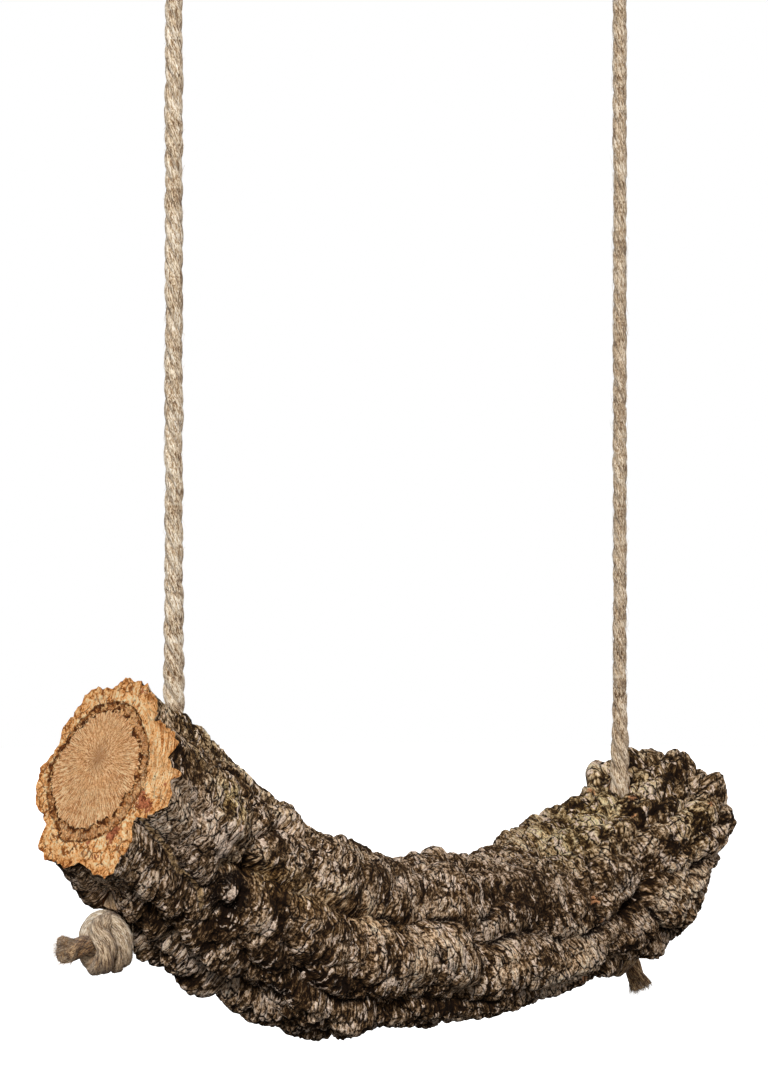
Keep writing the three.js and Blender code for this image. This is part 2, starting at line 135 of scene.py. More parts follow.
# A cut end: how far its strands come apart, over what length, and the brush of fibres that starts inside it.
KNOT_FRAY = 0.5
LOOP_FRAY = 0.2
FRAY_LENGTH = 7
BRUSH_FIBRES = 900
BRUSH_ROOT = 6

# The seeds of what is drawn at random for the left rope's pieces. Those of the right rope are one higher.
SEEDS = {"stopper_knot": 10, "top_loop": 20, "hanging_rope": 30}
BRUSH_SEED = 100

# The underside of a stopper knot is browner, part dirt and part painted shade: how much, and over what
# height.
KNOT_GRIME_AND_SHADE = 0.6
GRIME_AND_SHADE_FADE = 14

# The branch's axis, and how far the bark stands from it: x, y, z, up, down, front, back.
STATIONS = np.array([
    (-214, -7, -562, 49, 54, 55, 46),
    (-150, -2, -612, 53, 57, 57, 52),
    (-84, 0, -662, 50, 56, 58, 54),
    (-8, 0, -682, 50, 50, 56, 54),
    (68, 0, -682, 50, 48, 54, 52),
    (146, 0, -660, 50, 50, 55, 54),
    (213, 0, -634, 58, 54, 55, 55),
], float)
LEFT_CUT_NORMAL = np.array((-0.927, -0.233, 0.293))
RIGHT_CUT_NORMAL = np.array((1, 0, 0.03))
CUT_SETTLE = 95
TABLE_STEPS = 1200
MEAN_RADIUS = 54
RIM_FADE = 22
TEETH_FADE = 3.5

# The ragged rim of the cork on the left cut: degrees round the axis, radius.
LEFT_RIM = (
    (9, 52), (34, 53), (48, 47), (69, 57), (76, 53), (83, 54), (87, 62), (91, 54), (101, 60), (110, 53),
    (124, 42), (134, 49), (155, 59), (181, 50), (193, 54), (216, 57), (229, 47), (247, 51),
    (263, 49), (282, 43), (300, 43), (319, 45), (332, 49), (351, 46),
)

# The ring of inner bark on a sawn end: degrees round the axis, outer radius, width. Then the pith.
RING = (
    (0, 38, 4), (21, 39, 6.5), (40, 36.6, 6.6), (60, 37, 6.5), (86, 35.7, 7.5), (100, 35.8, 7.5),
    (118, 34.4, 8.5), (135, 35.2, 7.5), (163, 35.8, 7.6), (186, 38.8, 7.4), (206, 43, 8.5),
    (222, 41.4, 4.5), (240, 41.7, 4.8), (255, 42.3, 3.3), (268, 42, 3.7), (280, 38.5, 2.3),
    (295, 36.7, 2.7), (316, 36.3, 2.6), (337, 37.6, 3.8),
)
PITH = (7.6, -3.5)

# Long furrows: depth, width, and their way as millimetres along and degrees round the branch.
VALLEY = (
    (64, 102), (93, 89), (115, 85), (142, 75), (180, 68), (205, 67), (228, 61), (243, 61),
    (256, 67), (269, 79), (305, 75), (328, 90), (360, 98), (384, 95),
)
FURROWS = (
    (11, 7, VALLEY),
    (9, 5, ((384, 95), (397, 84), (409, 76), (427, 86), (448, 90), (476, 91))),
    (9, 5, ((399, 86), (398, 98), (411, 124), (437, 147))),
    (6, 6, ((0, 123), (20, 124), (56, 126), (89, 129), (122, 132), (149, 146))),
    (8, 4, ((98, 46), (88, 60), (80, 73), (77, 85), (84, 93))),
    (9, 4.5, ((127, 105), (134, 115), (152, 123), (181, 127), (196, 121), (218, 118))),
    (7, 4.5, ((218, 118), (245, 121), (288, 123), (330, 130), (385, 134))),
    (7, 4.5, ((306, -16), (288, 4), (279, 24), (284, 48), (269, 66), (264, 76))),
    (4, 4, ((262, 78), (266, 92), (262, 107), (254, 119))),
    (4, 4, ((219, 67), (223, 80), (228, 95), (230, 112))),
    (3.5, 4, ((173, 70), (178, 84), (176, 98), (180, 118))),
    (4.5, 4, ((128, 74), (121, 60), (117, 46), (110, 26), (116, 4))),
    (6, 4, ((372, 44), (364, 62), (359, 78), (360, 92))),
    (6, 5, ((14, 162), (61, 156), (109, 160), (150, 153), (196, 158), (246, 149))),
    (6, 6, ((0, 48), (26, 44), (55, 50), (82, 40), (104, 46))),
    (5, 6, ((0, 12), (34, 6), (70, 14), (104, 4), (140, -6))),
    (7, 6, (
        (0, 184), (48, 190), (96, 182), (150, 193), (230, 184), (310, 192), (390, 181), (476, 187),
    )),
    (10, 7, (
        (0, 229), (58, 238), (112, 228), (170, 240), (232, 232), (292, 244), (352, 236), (476, 241),
    )),
    (8, 6, (
        (0, 285), (60, 294), (126, 303), (200, 296), (262, 307), (330, 298), (402, 311), (476, 302),
    )),
    (6, 5, ((196, 240), (206, 258), (201, 278), (209, 296))),
    (6, 5, ((330, 240), (322, 258), (332, 278), (326, 298))),
    (6, 5, ((84, 236), (92, 256), (86, 276), (94, 298))),
    (5, 5, ((420, 246), (412, 268), (422, 290), (414, 308))),
)
SHOULDER_WIDTH = 3
SHOULDER_SHARE = 0.35
CREASE_DEPTH = 1.2

# The scar where a twig broke off: along, round. A ring of painted shade lies in the pit round it: radius,
# half width.
TWIG_SCAR = (80, 112)
SCAR_RING = 10
SCAR_RING_WIDTH = 4

# Single swellings, stubs and pits: along, round, half size along, half size round, height.
LUMPS = (
    (*TWIG_SCAR, 12, 11, -9), (*TWIG_SCAR, 6, 6, 13), (48, 84, 22, 20, 5), (30, 143, 14, 12, 4),
    (118, 112, 9, 9, 5), (108, 64, 14, 12, 3), (152, 99, 14, 15, 4.5), (199, 90, 17, 17, 4.5),
    (246, 90, 17, 22, 6.5), (160, 42, 26, 20, 3), (215, 36, 28, 20, 4), (256, 34, 18, 22, 4.5),
    (316, 44, 26, 22, 5.5), (300, 98, 22, 14, 4), (342, 116, 18, 12, 3.5), (384, 60, 13, 20, 5),
    (321, 71, 7, 7, -5), (321, 71, 3.5, 3.5, 4), (425, 105, 19, 17, 10), (474, 122, 20, 30, -20),
    (448, 66, 20, 15, 6), (438, -32, 13, 14, 15), (458, -22, 9, 10, 8), (460, 11, 10, 11, 6),
    (470, 43, 9, 10, 8), (385, 0, 4, 4, -5), (411, 21, 8, 5, -5), (383, -26, 9, 9, 5.5),
    (358, -23, 14, 12, 6), (278, -14, 12, 10, 4), (247, -9, 10, 9, 5), (188, -6, 9, 9, 3),
    (167, 4, 7, 9, 5), (122, 19, 10, 11, -6), (82, 17, 13, 14, -6), (53, 22, 10, 12, -3.5),
    (30, 22, 9, 10, 4), (30, 187, 15, 15, -5), (434, 203, 19, 19, -14), (80, 162, 8, 7, -5),
    (125, 160, 8, 8, -7), (141, 145, 7, 6, -5), (166, 140, 10, 9, 5), (166, 140, 4, 4, -6),
    (196, 138, 12, 8, 4), (104, 146, 11, 8, 4), (62, 142, 12, 8, 4), (150, 172, 16, 10, 1),
    (236, 168, 16, 14, -6), (440, 164, 18, 14, 8), (118, 268, 22, 18, 5), (262, 270, 24, 18, 5),
    (380, 272, 22, 18, 6), (450, 270, 14, 18, 5), (290, 330, 20, 14, 3), (400, -29, 18, 13, 8),
    (474, 22, 7, 8, -6), (418, 146, 14, 10, 4), (322, 156, 16, 12, -5), (274, 150, 18, 12, -8),
    (366, 152, 18, 12, 4), (98, 192, 26, 22, 10), (42, 206, 20, 17, 8), (204, -3, 12, 12, 3),
    (136, 10, 8, 9, -5), (66, 28, 8, 8, -4), (128, 178, 14, 12, 3.5), (466, 87, 12, 12, 6),
    (24, 208, 13, 14, 6), (310, -24, 22, 14, 4),
)
SWELL_SIZE = 46
SWELL_HEIGHT = 4

# Blocky cells all over the bark, and where they stand higher: rows like those of the lumps.
CELL_SIZE = 17
CELL_STRETCH = 1.25
CELL_HEIGHT = 3.2
ROUGH_ZONES = (
    (450, 20, 60, 110, 3.2), (420, 180, 70, 60, 2.4), (130, 160, 90, 34, 3),
    (60, 15, 60, 50, 2.6), (230, 290, 200, 50, 2),
)

# Broad patches of colour on the bark: along, round, half size along, half size round, strength.
TINTS = {
    "moss": (
        (405, 0, 60, 40, 1.0), (46, 74, 12, 9, 1.4), (20, 62, 10, 9, 0.6), (130, 15, 60, 16, 0.4),
        (447, 60, 16, 16, 0.7), (365, 30, 24, 14, 0.5), (96, 88, 12, 9, 0.5), (125, 80, 26, 8, 0.3),
        (40, 30, 40, 14, 0.6),
    ),
    "grey": ((40, 108, 26, 22, 1.0), (310, 52, 26, 22, 1.0), (385, 80, 18, 24, 0.6), (200, 40, 34, 12, 0.6)),
    "tan": (
        (422, 102, 19, 19, 1.5), (229, 73, 15, 8, 1.1), (214, 92, 12, 14, 0.7), (244, 86, 9, 15, 0.8),
        (290, 90, 16, 12, 1.0), (334, 106, 18, 12, 0.8), (311, 12, 16, 6, 1.1), (360, 0, 20, 14, 0.9),
        (400, 20, 12, 14, 0.8), (436, 79, 9, 13, 0.7), (275, -11, 8, 6, 0.7), (223, 52, 16, 7, 0.7),
        (250, 50, 8, 7, 0.6), (361, 47, 6, 6, 0.8), (344, 89, 6, 6, 0.6), (45, 58, 22, 7, 1.0),
        (72, 41, 22, 8, 1.0), (20, 40, 20, 8, 0.7), (97, 40, 10, 7, 0.6), (168, 21, 18, 7, 0.8),
        (133, 53, 7, 6, 0.8), (140, 66, 7, 6, 0.8), (111, 110, 7, 7, 0.7), (183, 75, 24, 6, 0.7),
        (128, 94, 16, 6, 0.5), (170, 98, 30, 10, 0.3), (262, 24, 10, 5, 0.6),
        (300, 112, 50, 12, 0.3), (25, 100, 30, 26, 0.35), (60, 90, 24, 16, 0.3),
    ),
    "worn": (
        (208, 40, 3, 5, 1.0), (134, 54, 5, 4, 0.8), (140, 67, 4, 4, 0.7), (244, 84, 3, 7, 1.0),
        (238, 97, 4, 4, 0.9), (198, 103, 7, 3, 0.8), (166, 92, 3, 6, 0.7), (111, 111, 6, 7, 0.8),
        (53, 98, 4, 8, 1.3), (45, 96, 4, 6, 1.0), (26, 101, 3, 6, 0.9), (53, 86, 3, 5, 0.9),
        (33, 90, 3, 4, 0.8), (77, 73, 3, 4, 0.9), (93, 60, 3, 4, 0.9), (96, 41, 3, 5, 0.9),
        (73, 61, 3, 4, 0.7), (20, 87, 3, 4, 0.7), (290, 64, 3, 4, 0.8), (271, 45, 3, 12, 0.8),
        (312, 27, 3, 4, 0.7), (3, 148, 6, 6, 0.6), (147, 136, 9, 4, 0.6), (*TWIG_SCAR, 5, 5, 1.2),
        (172, 20, 5, 4, 0.7), (311, 11, 10, 3, 0.7),
    ),
    "chip": (
        (424, 22, 3, 4, 1.0), (430, -10, 3, 3, 0.8), (423, -20, 3, 4, 0.8), (457, 57, 3, 3, 0.8),
        (361, 73, 4, 4, 1.0), (362, 91, 3, 3, 0.7), (354, 147, 6, 3, 0.7), (415, 34, 4, 3, 0.6),
        (262, 20, 4, 3, 0.6), (53, 86, 2, 3, 0.6),
    ),
    # Dark patches: part soot, part painted shade on the underside, at furrow cores and in the twig scar's
    # pit.
    "soot_and_shade": (
        (*TWIG_SCAR, 13, 12, 1.0), (60, 145, 60, 18, 0.15), (33, 64, 8, 6, 1.0), (47, 45, 12, 6, 0.7),
        (81, 91, 6, 6, 1.0), (114, 101, 8, 5, 0.9), (397, 90, 8, 16, 0.8), (152, 124, 34, 14, 0.9),
        (146, 105, 12, 8, 0.8), (304, 48, 20, 15, 1.0), (319, 70, 14, 10, 0.9), (106, 58, 8, 6, 0.8),
        (240, 124, 40, 7, 0.8), (383, 100, 8, 8, 0.8), (96, 134, 16, 8, 0.6), (10, 78, 8, 12, 0.8),
        (32, 34, 7, 7, 0.7), (58, 52, 9, 6, 0.7), (50, 14, 9, 8, 0.6), (204, 31, 22, 9, 0.5),
        (84, 118, 22, 12, 0.4), (108, 90, 14, 9, 0.9), (268, 100, 9, 18, 0.6), (186, 112, 30, 6, 0.5),
        (452, 30, 16, 14, 0.5), (442, 84, 22, 22, 0.3), (28, 130, 18, 9, 0.5),
    ),
}

# A tan seam with dark sides that runs from the left cut past the twig scar: along, round; half width.
SEAM = ((0, 118), (10, 120), (27, 123), (40, 127), (52, 125), (61, 123), (70, 128))
SEAM_WIDTH = 1.5

# The valley, the first of the furrows, is tan up to here, fading before that, and this far to each side.
VALLEY_END = 240
VALLEY_FADE = 60
VALLEY_WIDTH = 8

# Where the cork of the left cut lies in layers, given like a patch of colour at the very end.
LAYERED = (0, 66, 1, 38, 1.0)

# Reddish pieces on the left cut: up and across from the axis, size, strength.
REDDISH = (
    (-12.5, 36.5, 4.5, 1.0), (-15, 42, 3.5, 0.9), (-29, 21, 4.5, 1.0), (-35, 19, 3.5, 0.8),
    (44, 19, 3.5, 0.7), (-39, 3, 2.5, 0.7), (-45, 12, 2.5, 0.6), (-3, 52, 3, 0.6),
)

# The bark's own mesh: rows along it, points round it, rows on each cut face, and how many degrees its
# points move towards the front.
BARK_ROWS = 424
BARK_POINTS = 208
LEFT_FACE_ROWS = 26
RIGHT_FACE_ROWS = 12
FRONT_CROWDING = 20
WELD_DISTANCE = 1e-6

# The drill that cuts the rope holes, and which of the branch's finishes their walls have.
DRILL_STEP = 4
DRILL_SIDES = 24
DRILLED_FINISH = 2

# The studio, in metres: what the lights point at, then each light's place, size and power in watts, the
# floor, and how the sky's light grows with the height of its direction.
LIT_PLACE = (0, 0, -0.62)
LIGHTS = {
    "key_light": ((-1.35, -1.65, 0.6), 0.5, 52),
    "fill_light": ((1.7, -1.3, 0.0), 1.2, 8),
}
FLOOR_HEIGHT = -1.3
FLOOR_RADIUS = 7.0
SKY_LIGHT = {"From Min": -0.7, "From Max": 0.8, "To Min": 0.08, "To Max": 0.62}


def smooth(x):
    x = np.clip(x, 0, 1)
    return x * x * (3 - 2 * x)


def unit(v):
    return v / np.linalg.norm(v, axis=-1, keepdims=True)


# Repeatable numbers from 0 to 1 for whole-number places.
def scatter(cell, seed):
    value = np.sin(cell @ (127.1, 311.7, 74.7) + seed * 19.19) * 43758.5453
    return value - np.floor(value)


# The corners of a unit cell, and the steps to it and all its neighbours.
CORNERS = np.array([(a, b, c) for a in (0, 1) for b in (0, 1) for c in (0, 1)])
NEIGHBOURS = np.array([(a, b, c) for a in (-1, 0, 1) for b in (-1, 0, 1) for c in (-1, 0, 1)])


# Smooth noise from -1 to 1, one wave per unit.
def swell(place, seed):
    cell = np.floor(place)
    share = smooth(place - cell)
    total = np.zeros(len(place))
    for corner in CORNERS:
        weight = np.prod(np.where(corner, share, 1 - share), axis=1)
        total += weight * scatter(cell + corner, seed)
    return 2 * total - 1


# Distances to the nearest two of one scattered point per unit cell.
def cells(place, seed):
    cell = np.floor(place)
    first = np.full(len(place), 9.0)
    second = first.copy()
    for step in NEIGHBOURS:
        there = cell + step
        point = there + np.stack([scatter(there, seed + k) for k in range(3)], axis=1)
        away = np.linalg.norm(point - place, axis=1)
        second = np.minimum(second, np.maximum(first, away))
        first = np.minimum(first, away)
    return first, second


# Several sizes of smooth noise together, each half as wide and as strong as the last.
def rough_noise(place, seed, sizes=3):
    total = sum(swell(place * 2 ** k, seed + 5 * k) / 2 ** k for k in range(sizes))
    return total / (2 - 2 ** (1 - sizes))


# Uniform Catmull-Rom through evenly spaced rows, t from 0 to 1.
def through(rows, t):
    x = np.clip(t, 0, 1) * (len(rows) - 1)
    i = np.minimum(np.floor(x).astype(int), len(rows) - 2)
    w = (x - i)[:, None]
    padded = np.vstack([2 * rows[0] - rows[1], rows, 2 * rows[-1] - rows[-2]])
    a, b, c, d = (padded[i + k] for k in range(4))
    bend = (2 * a - 5 * b + 4 * c - d) * w ** 2 + (3 * b - a - 3 * c + d) * w ** 3
    return 0.5 * (2 * b + (c - a) * w + bend)


# How far along the branch each of a table of rings is, and the rings: square to its axis, and turning into
# the saw cut near each end.
def make_table():
    t = np.linspace(0, 1, TABLE_STEPS + 1)
    rows = through(STATIONS, t)
    s = np.concatenate([[0], np.cumsum(np.linalg.norm(np.diff(rows[:, :3], axis=0), axis=1))])
    ahead = through(STATIONS, t + 1e-4)[:, :3]
    behind = through(STATIONS, t - 1e-4)[:, :3]
    near_left = (1 - smooth(s / CUT_SETTLE))[:, None]
    near_right = (1 - smooth((s[-1] - s) / CUT_SETTLE))[:, None]
    along = unit(ahead - behind) * (1 - near_left) * (1 - near_right)
    along = unit(along - LEFT_CUT_NORMAL * near_left + RIGHT_CUT_NORMAL * near_right)
    top = unit(np.array((0, 0, 1)) - along * along[:, 2:])
    front = np.cross(along, top)
    return s, np.hstack([rows, top, front])


table_s, ring_table = make_table()
BRANCH_LENGTH = table_s[-1]


# Everything about the rings at s: centre, the four reaches, the top and front directions.
def rings(s):
    columns = [np.interp(s, table_s, column) for column in ring_table.T]
    table = np.stack(columns, axis=1)
    return table[:, :3], table[:, 3:7], table[:, 7:10], table[:, 10:13]


def plain_radius(reach, phi):
    up, down, front, back = reach.T
    vertical = np.cos(phi) * np.where(np.cos(phi) > 0, up, down)
    sideways = np.sin(phi) * np.where(np.sin(phi) > 0, front, back)
    return np.hypot(vertical, sideways)


# A column of a table by angle, eased between its rows.
def by_angle(table, column, degrees):
    points = np.array(table + ((table[0][0] + 360,) + table[0][1:],), float)
    turn = np.mod(degrees - table[0][0], 360) + table[0][0]
    i = np.clip(np.searchsorted(points[:, 0], turn, side="left"), 1, len(points) - 1)
    before, after = points[i - 1], points[i]
    share = smooth((turn - before[:, 0]) / (after[:, 0] - before[:, 0]))
    return before[:, column] + (after[:, column] - before[:, column]) * share


# Millimetres round the branch between two angles, the short way.
def arc_between(a, b):
    return np.radians(np.mod(a - b + 180, 360) - 180) * MEAN_RADIUS


# Distance to a path on the bark, and 1 where the place lies at the larger angle, -1 at the smaller.
def off_path(path, s, degrees):
    near = np.full(len(s), 1e9)
    side = np.zeros(len(s))
    for (s0, a0), (s1, a1) in zip(path, path[1:]):
        run, rise = s1 - s0, float(arc_between(a1, a0))
        across = arc_between(degrees, a0)
        k = np.clip(((s - s0) * run + across * rise) / (run * run + rise * rise), 0, 1)
        off_s, off_round = s - s0 - k * run, across - k * rise
        away = np.hypot(off_s, off_round)
        beyond = np.sign((off_round * run - off_s * rise) * (1 if run >= 0 else -1))
        side = np.where(away < near, beyond, side)
        near = np.minimum(near, away)
    return near, side


def bump_at(spot, s, degrees):
    at_s, at_degrees, size_s, size_round, height = spot
    away = ((s - at_s) / size_s) ** 2 + (arc_between(degrees, at_degrees) / size_round) ** 2
    return height * np.exp(-away)


# A place on the bark unrolled onto a cylinder, so that patterns have no seam.
def on_cylinder(s, degrees):
    phi = np.radians(degrees)
    return np.stack([s, np.cos(phi) * MEAN_RADIUS, np.sin(phi) * MEAN_RADIUS], axis=1)


# Rounded sides that meet in a sharp crease: 1 in the crease, 0 from one width away.
def pillow(share):
    rest = 1 - np.clip(share, 0, 1)
    return 1 - np.sqrt(np.maximum(1 - rest * rest, 0))


# The furrows at a place: depth, 1 in the crease itself, and how far they draw the grain along.
def furrows_at(s, degrees):
    depth = np.zeros(len(s))
    crease = np.zeros(len(s))
    drawn = np.zeros(len(s))
    for deep, width, path in FURROWS:
        near, side = off_path(path, s, degrees)
        groove = 0.45 * np.exp(-(near / width) ** 2) + 0.6 * pillow(near / (2 * width))
        shoulder = np.exp(-(near / width / SHOULDER_WIDTH) ** 2)
        depth += deep * ((1 - SHOULDER_SHARE) * groove + SHOULDER_SHARE * shoulder)
        crease = np.maximum(crease, np.minimum(deep / 8, 1) * np.exp(-(near / (0.4 * width)) ** 2))
        drawn += deep * np.where(side > 0, 0.65, -0.25) * np.exp(-near / 9)
    return depth, crease, drawn


def roughness_at(s, degrees):
    return sum((bump_at(zone, s, degrees) for zone in ROUGH_ZONES), np.full(len(s), float(CELL_HEIGHT)))


# A place moved aside by smooth noise, so that patterns made from it are irregular.
def warped(place, size, reach, seed):
    return place + reach * np.stack([rough_noise(place / size, seed + k, 2) for k in range(3)], axis=1)


# The main relief, as in the solid: swellings, furrows, lumps and blocky cells.
def main_relief(s, degrees, depth):
    place = on_cylinder(s, degrees)
    height = SWELL_HEIGHT * swell(place / SWELL_SIZE, 3) - depth
    for lump in LUMPS:
        height += bump_at(lump, s, degrees)
    uneven = warped(place, 13, 3.0, 15)
    first, second = cells(uneven / (CELL_SIZE * CELL_STRETCH, CELL_SIZE, CELL_SIZE), 11)
    block = 0.8 - 2.1 * np.minimum(first, 1) ** 2 - 0.35 * np.exp(-((second - first) / 0.1) ** 2)
    return height + roughness_at(s, degrees) * block


# Folds across the branch like those of a curtain: rounded, with a sharp crease between each two.
def folds(place, grain, pitch, seed):
    turn = grain / pitch + 0.9 * rough_noise(place / (36, 21, 21), seed)
    share = turn - np.floor(turn)
    crease = pillow(4 * np.minimum(share, 1 - share) ** 1.3)
    return 0.25 - crease, crease


# Folds, plates, flakes, blocks and crumbs on top of the main relief, and where the cracks are, which the
# bark's finish paints dark as shade.
def fine_relief(s, degrees, grain):
    place = on_cylinder(s, degrees)
    uneven = warped(place, 7, 2.6, 27)
    across = np.stack([grain, uneven[:, 1], uneven[:, 2]], axis=1)
    rough = np.clip((roughness_at(s, degrees) - CELL_HEIGHT) / 2.5, 0, 1)
    near_cut = np.exp(-(s / 50) ** 2)
    calm = (1 - 0.75 * rough) * (1 - 0.85 * near_cut)

    # Folds in patches.
    wide, wide_crease = folds(place, grain, 10, 33)
    narrow, narrow_crease = folds(uneven, grain, 5.2, 35)
    wide_patch = smooth(0.5 + 1.3 * swell(place / (30, 17, 17), 31))
    narrow_patch = smooth(0.4 + 1.4 * swell(place / (16, 11, 11), 37))
    height = calm * (1.7 * wide_patch * wide + 0.8 * narrow_patch * narrow)
    lines = np.maximum(wide_patch * wide_crease, 0.6 * narrow_patch * narrow_crease) * calm

    # Plates with gaps between them, and flakes in steps.
    first, second = cells(across / (5.6, 9, 9), 63)
    plate_gap = np.exp(-((second - first) / 0.16) ** 2)
    height += (0.9 + 0.3 * rough) * (0.3 - plate_gap * smooth(0.6 + swell(place / 8, 65)))
    flakes = 3.4 * rough_noise(uneven / (13, 10, 10), 41) + 8
    step = np.floor(flakes) + smooth((flakes - np.floor(flakes)) * 2.6)
    height += (0.8 + 0.9 * rough + 0.5 * near_cut) * (step - flakes)

    # Rounded blocks with cracks between them, and crumbs.
    first, second = cells(uneven / (15, 11, 11), 51)
    crack = np.exp(-((second - first) / 0.1) ** 2)
    height += (0.15 + 1.3 * rough) * (0.35 - first ** 2) - (0.1 + 1.0 * rough) * crack
    crumbs = 1 - 2 * np.abs(rough_noise(uneven / 5.5, 81, 2))
    height += (0.45 + 0.35 * rough + 0.3 * near_cut) * (crumbs - 0.6)
    return height, np.maximum(lines ** 3, np.maximum(0.5 * plate_gap, crack * (0.1 + 0.7 * rough)))


# How far the sawn rim stands in and out, in broken chips and small teeth.
def rim_teeth(degrees):
    place = on_cylinder(np.zeros(len(degrees)), degrees)
    teeth = np.abs(swell(place / 3.1, 85)) + 0.6 * np.abs(swell(place / 1.7, 87))
    chips = np.rint(2.4 * swell(place / 5.2, 89)) / 2.4
    return 2.6 * (0.55 - teeth) + 1.7 * chips


# Degrees round the branch for a share of the way round from the front.
def spread_round(share):
    return np.mod(90 + 360 * share - FRONT_CROWDING * np.sin(2 * np.pi * share), 360)


# Places at an angle and a distance from a centre, where top and front are the directions at 0 and 90 degrees.
def place_on_ring(centre, top, front, degrees, radius):
    phi = np.radians(degrees)[:, None]
    return centre + (top * np.cos(phi) + front * np.sin(phi)) * np.reshape(radius, (-1, 1))


# A flat grid to be wrapped into a shape, and how far along and round it each of its points is.
def sheet_of_points(name, along, around):
    flat = bmesh.new()
    bmesh.ops.create_grid(flat, x_segments=along, y_segments=around, size=0.5)
    mesh = bpy.data.meshes.new(name)
    flat.to_mesh(mesh)
    flat.free()
    places = np.empty(len(mesh.vertices) * 3, np.float32)
    mesh.vertices.foreach_get("co", places)
    places = places.reshape(-1, 3) + 0.5
    return mesh, np.rint(places[:, 0] * along), np.rint(places[:, 1] * around)


def move_points(mesh, places):
    mesh.vertices.foreach_set("co", (places * MM).astype(np.float32).ravel())
    mesh.update()


# Keeps a number or a vector for each point, which the finishes read by its name.
def note(mesh, name, values):
    vector = values.ndim == 2
    layer = mesh.attributes.new(name, "FLOAT_VECTOR" if vector else "FLOAT", "POINT")
    layer.data.foreach_set("vector" if vector else "value", values.astype(np.float32).ravel())


# Joins the seam and the poles, turns the faces outwards and leaves the edges between finishes sharp.
def close_up(mesh):
    shell = bmesh.new()
    shell.from_mesh(mesh)
    bmesh.ops.remove_doubles(shell, verts=shell.verts, dist=WELD_DISTANCE)
    bmesh.ops.recalc_face_normals(shell, faces=shell.faces)
    for face in shell.faces:
        face.smooth = True
    for edge in shell.edges:
        finishes = {face.material_index for face in edge.link_faces}
        edge.smooth = len(finishes) == 1
    shell.to_mesh(mesh)
    shell.free()


def new_piece(name, mesh, finishes):
    piece = bpy.data.objects.new(name, mesh)
    bpy.context.scene.collection.objects.link(piece)
    for finish in finishes:
        mesh.materials.append(finish)
    return piece


# The routes of the ropes, from the part's source.
def hole_line(rope):
    mouth = np.array((rope["side"] * ROPE_SPACING / 2, 0, rope["mouth_height"]), float)
    way = np.array(rope["exit"]) - mouth
    return mouth, unit(way), np.linalg.norm(way)


def straight_route(rope):
    mouth, way, depth = hole_line(rope)
    top = np.array((mouth[0], 0, LOOP_END - JOINT_GAP))
    points = [top + (mouth - top) * share for share in (0, 0.2, 0.4, 0.6, 0.8)]
    points.append(mouth + (0, 0, BEND_HEIGHT))
    points += [mouth + way * depth * share for share in (0, 0.15, 0.4, 0.7, 1)]
    return np.array(points)


def hole_route(rope):
    mouth, way, depth = hole_line(rope)
    points = [mouth + (0, 0, height) for height in (HOLE_OVERRUN, BEND_HEIGHT, 0)]
    points += [mouth + way * depth * share for share in (0.16, 0.4, 0.7, 1)]
    points.append(mouth + way * (depth + HOLE_OVERRUN))
    return np.array(points)


def stopper_route(rope):
    mouth, way, depth = hole_line(rope)
    out = unit(np.array(rope["knot_axis"], float))
    middle = mouth + way * (depth + KNOT_DROP)
    down = unit(np.array((0, 0, -1)) + out * out[2])
    front = np.cross(down, out) * rope["side"]
    half_width = KNOT_PITCH * KNOT_TURNS / 2

    def around(degrees, radius, along):
        turn = math.radians(degrees)
        return middle + front * math.cos(turn) * radius + down * math.sin(turn) * radius + out * along

    start = mouth + way * (depth + JOINT_GAP)
    points = [start, start + way * KNOT_LEAD]
    count = round(KNOT_TURNS * TURN_POINTS)
    for i in range(count + 1):
        turned_by = i / TURN_POINTS
        points.append(around(KNOT_START + 360 * turned_by, KNOT_RADIUS, half_width - KNOT_PITCH * turned_by))
    end = KNOT_START + 360 * count / TURN_POINTS
    for past, share, out_by in KNOT_RETURN:
        points.append(around(end + past, KNOT_RADIUS * share, -half_width - out_by))
    leave = around(0, 0, half_width + TAIL_START)
    tail = unit(np.array(rope["tail"], float))
    points += [middle, leave] + [leave + tail * rope["tail_length"] * share for share in (0.5, 1)]
    return np.array(points)


def loop_route(rope):
    def at(out, y, z):
        return np.array((rope["side"] * (ROPE_SPACING / 2 + out), y, z), float)

    points = [at(0, 0, LOOP_END), at(0, 0, HITCH_TOP - BEND_HEIGHT), at(0, 0, HITCH_TOP)]
    points += [at(*place) for place in EYE_LINE]
    for i in range(HITCH_TURNS * TURN_POINTS + 1):
        turned_by = i / TURN_POINTS
        turn = math.radians(HITCH_START + 360 * turned_by)
        height = HITCH_TOP - HITCH_PITCH * turned_by
        points.append(at(-math.cos(turn) * HITCH_RADIUS, -math.sin(turn) * HITCH_RADIUS, height))
    end = points[-1]
    leave = unit(end - points[-2])
    points += [end + leave * LOOP_TAIL / 2, end + leave * LOOP_TAIL]
    return np.array(points)


# Points at even steps on the smooth curve through a route, which is a centripetal Catmull-Rom.
def along_route(points, step):
    padded = np.vstack([2 * points[0] - points[1], points, 2 * points[-1] - points[-2]])
    fine = []
    for a, b, c, d in zip(padded, padded[1:], padded[2:], padded[3:]):
        before, here, after = (math.sqrt(np.linalg.norm(q - p)) for p, q in ((a, b), (b, c), (c, d)))
        leave = ((b - a) / before - (c - a) / (before + here) + (c - b) / here) * here
        arrive = ((c - b) / here - (d - b) / (here + after) + (d - c) / after) * here
        w = np.linspace(0, 1, SPLINE_STEPS, endpoint=False)[:, None]
        fine.append(b + leave * w + (3 * (c - b) - 2 * leave - arrive) * w ** 2
                    + (2 * (b - c) + leave + arrive) * w ** 3)
    line = np.vstack(fine + [points[-1:]])
    gone = np.concatenate([[0], np.cumsum(np.linalg.norm(np.diff(line, axis=0), axis=1))])
    even = np.linspace(0, gone[-1], max(2, round(gone[-1] / step)) + 1)
    return np.stack([np.interp(even, gone, column) for column in line.T], axis=1), even


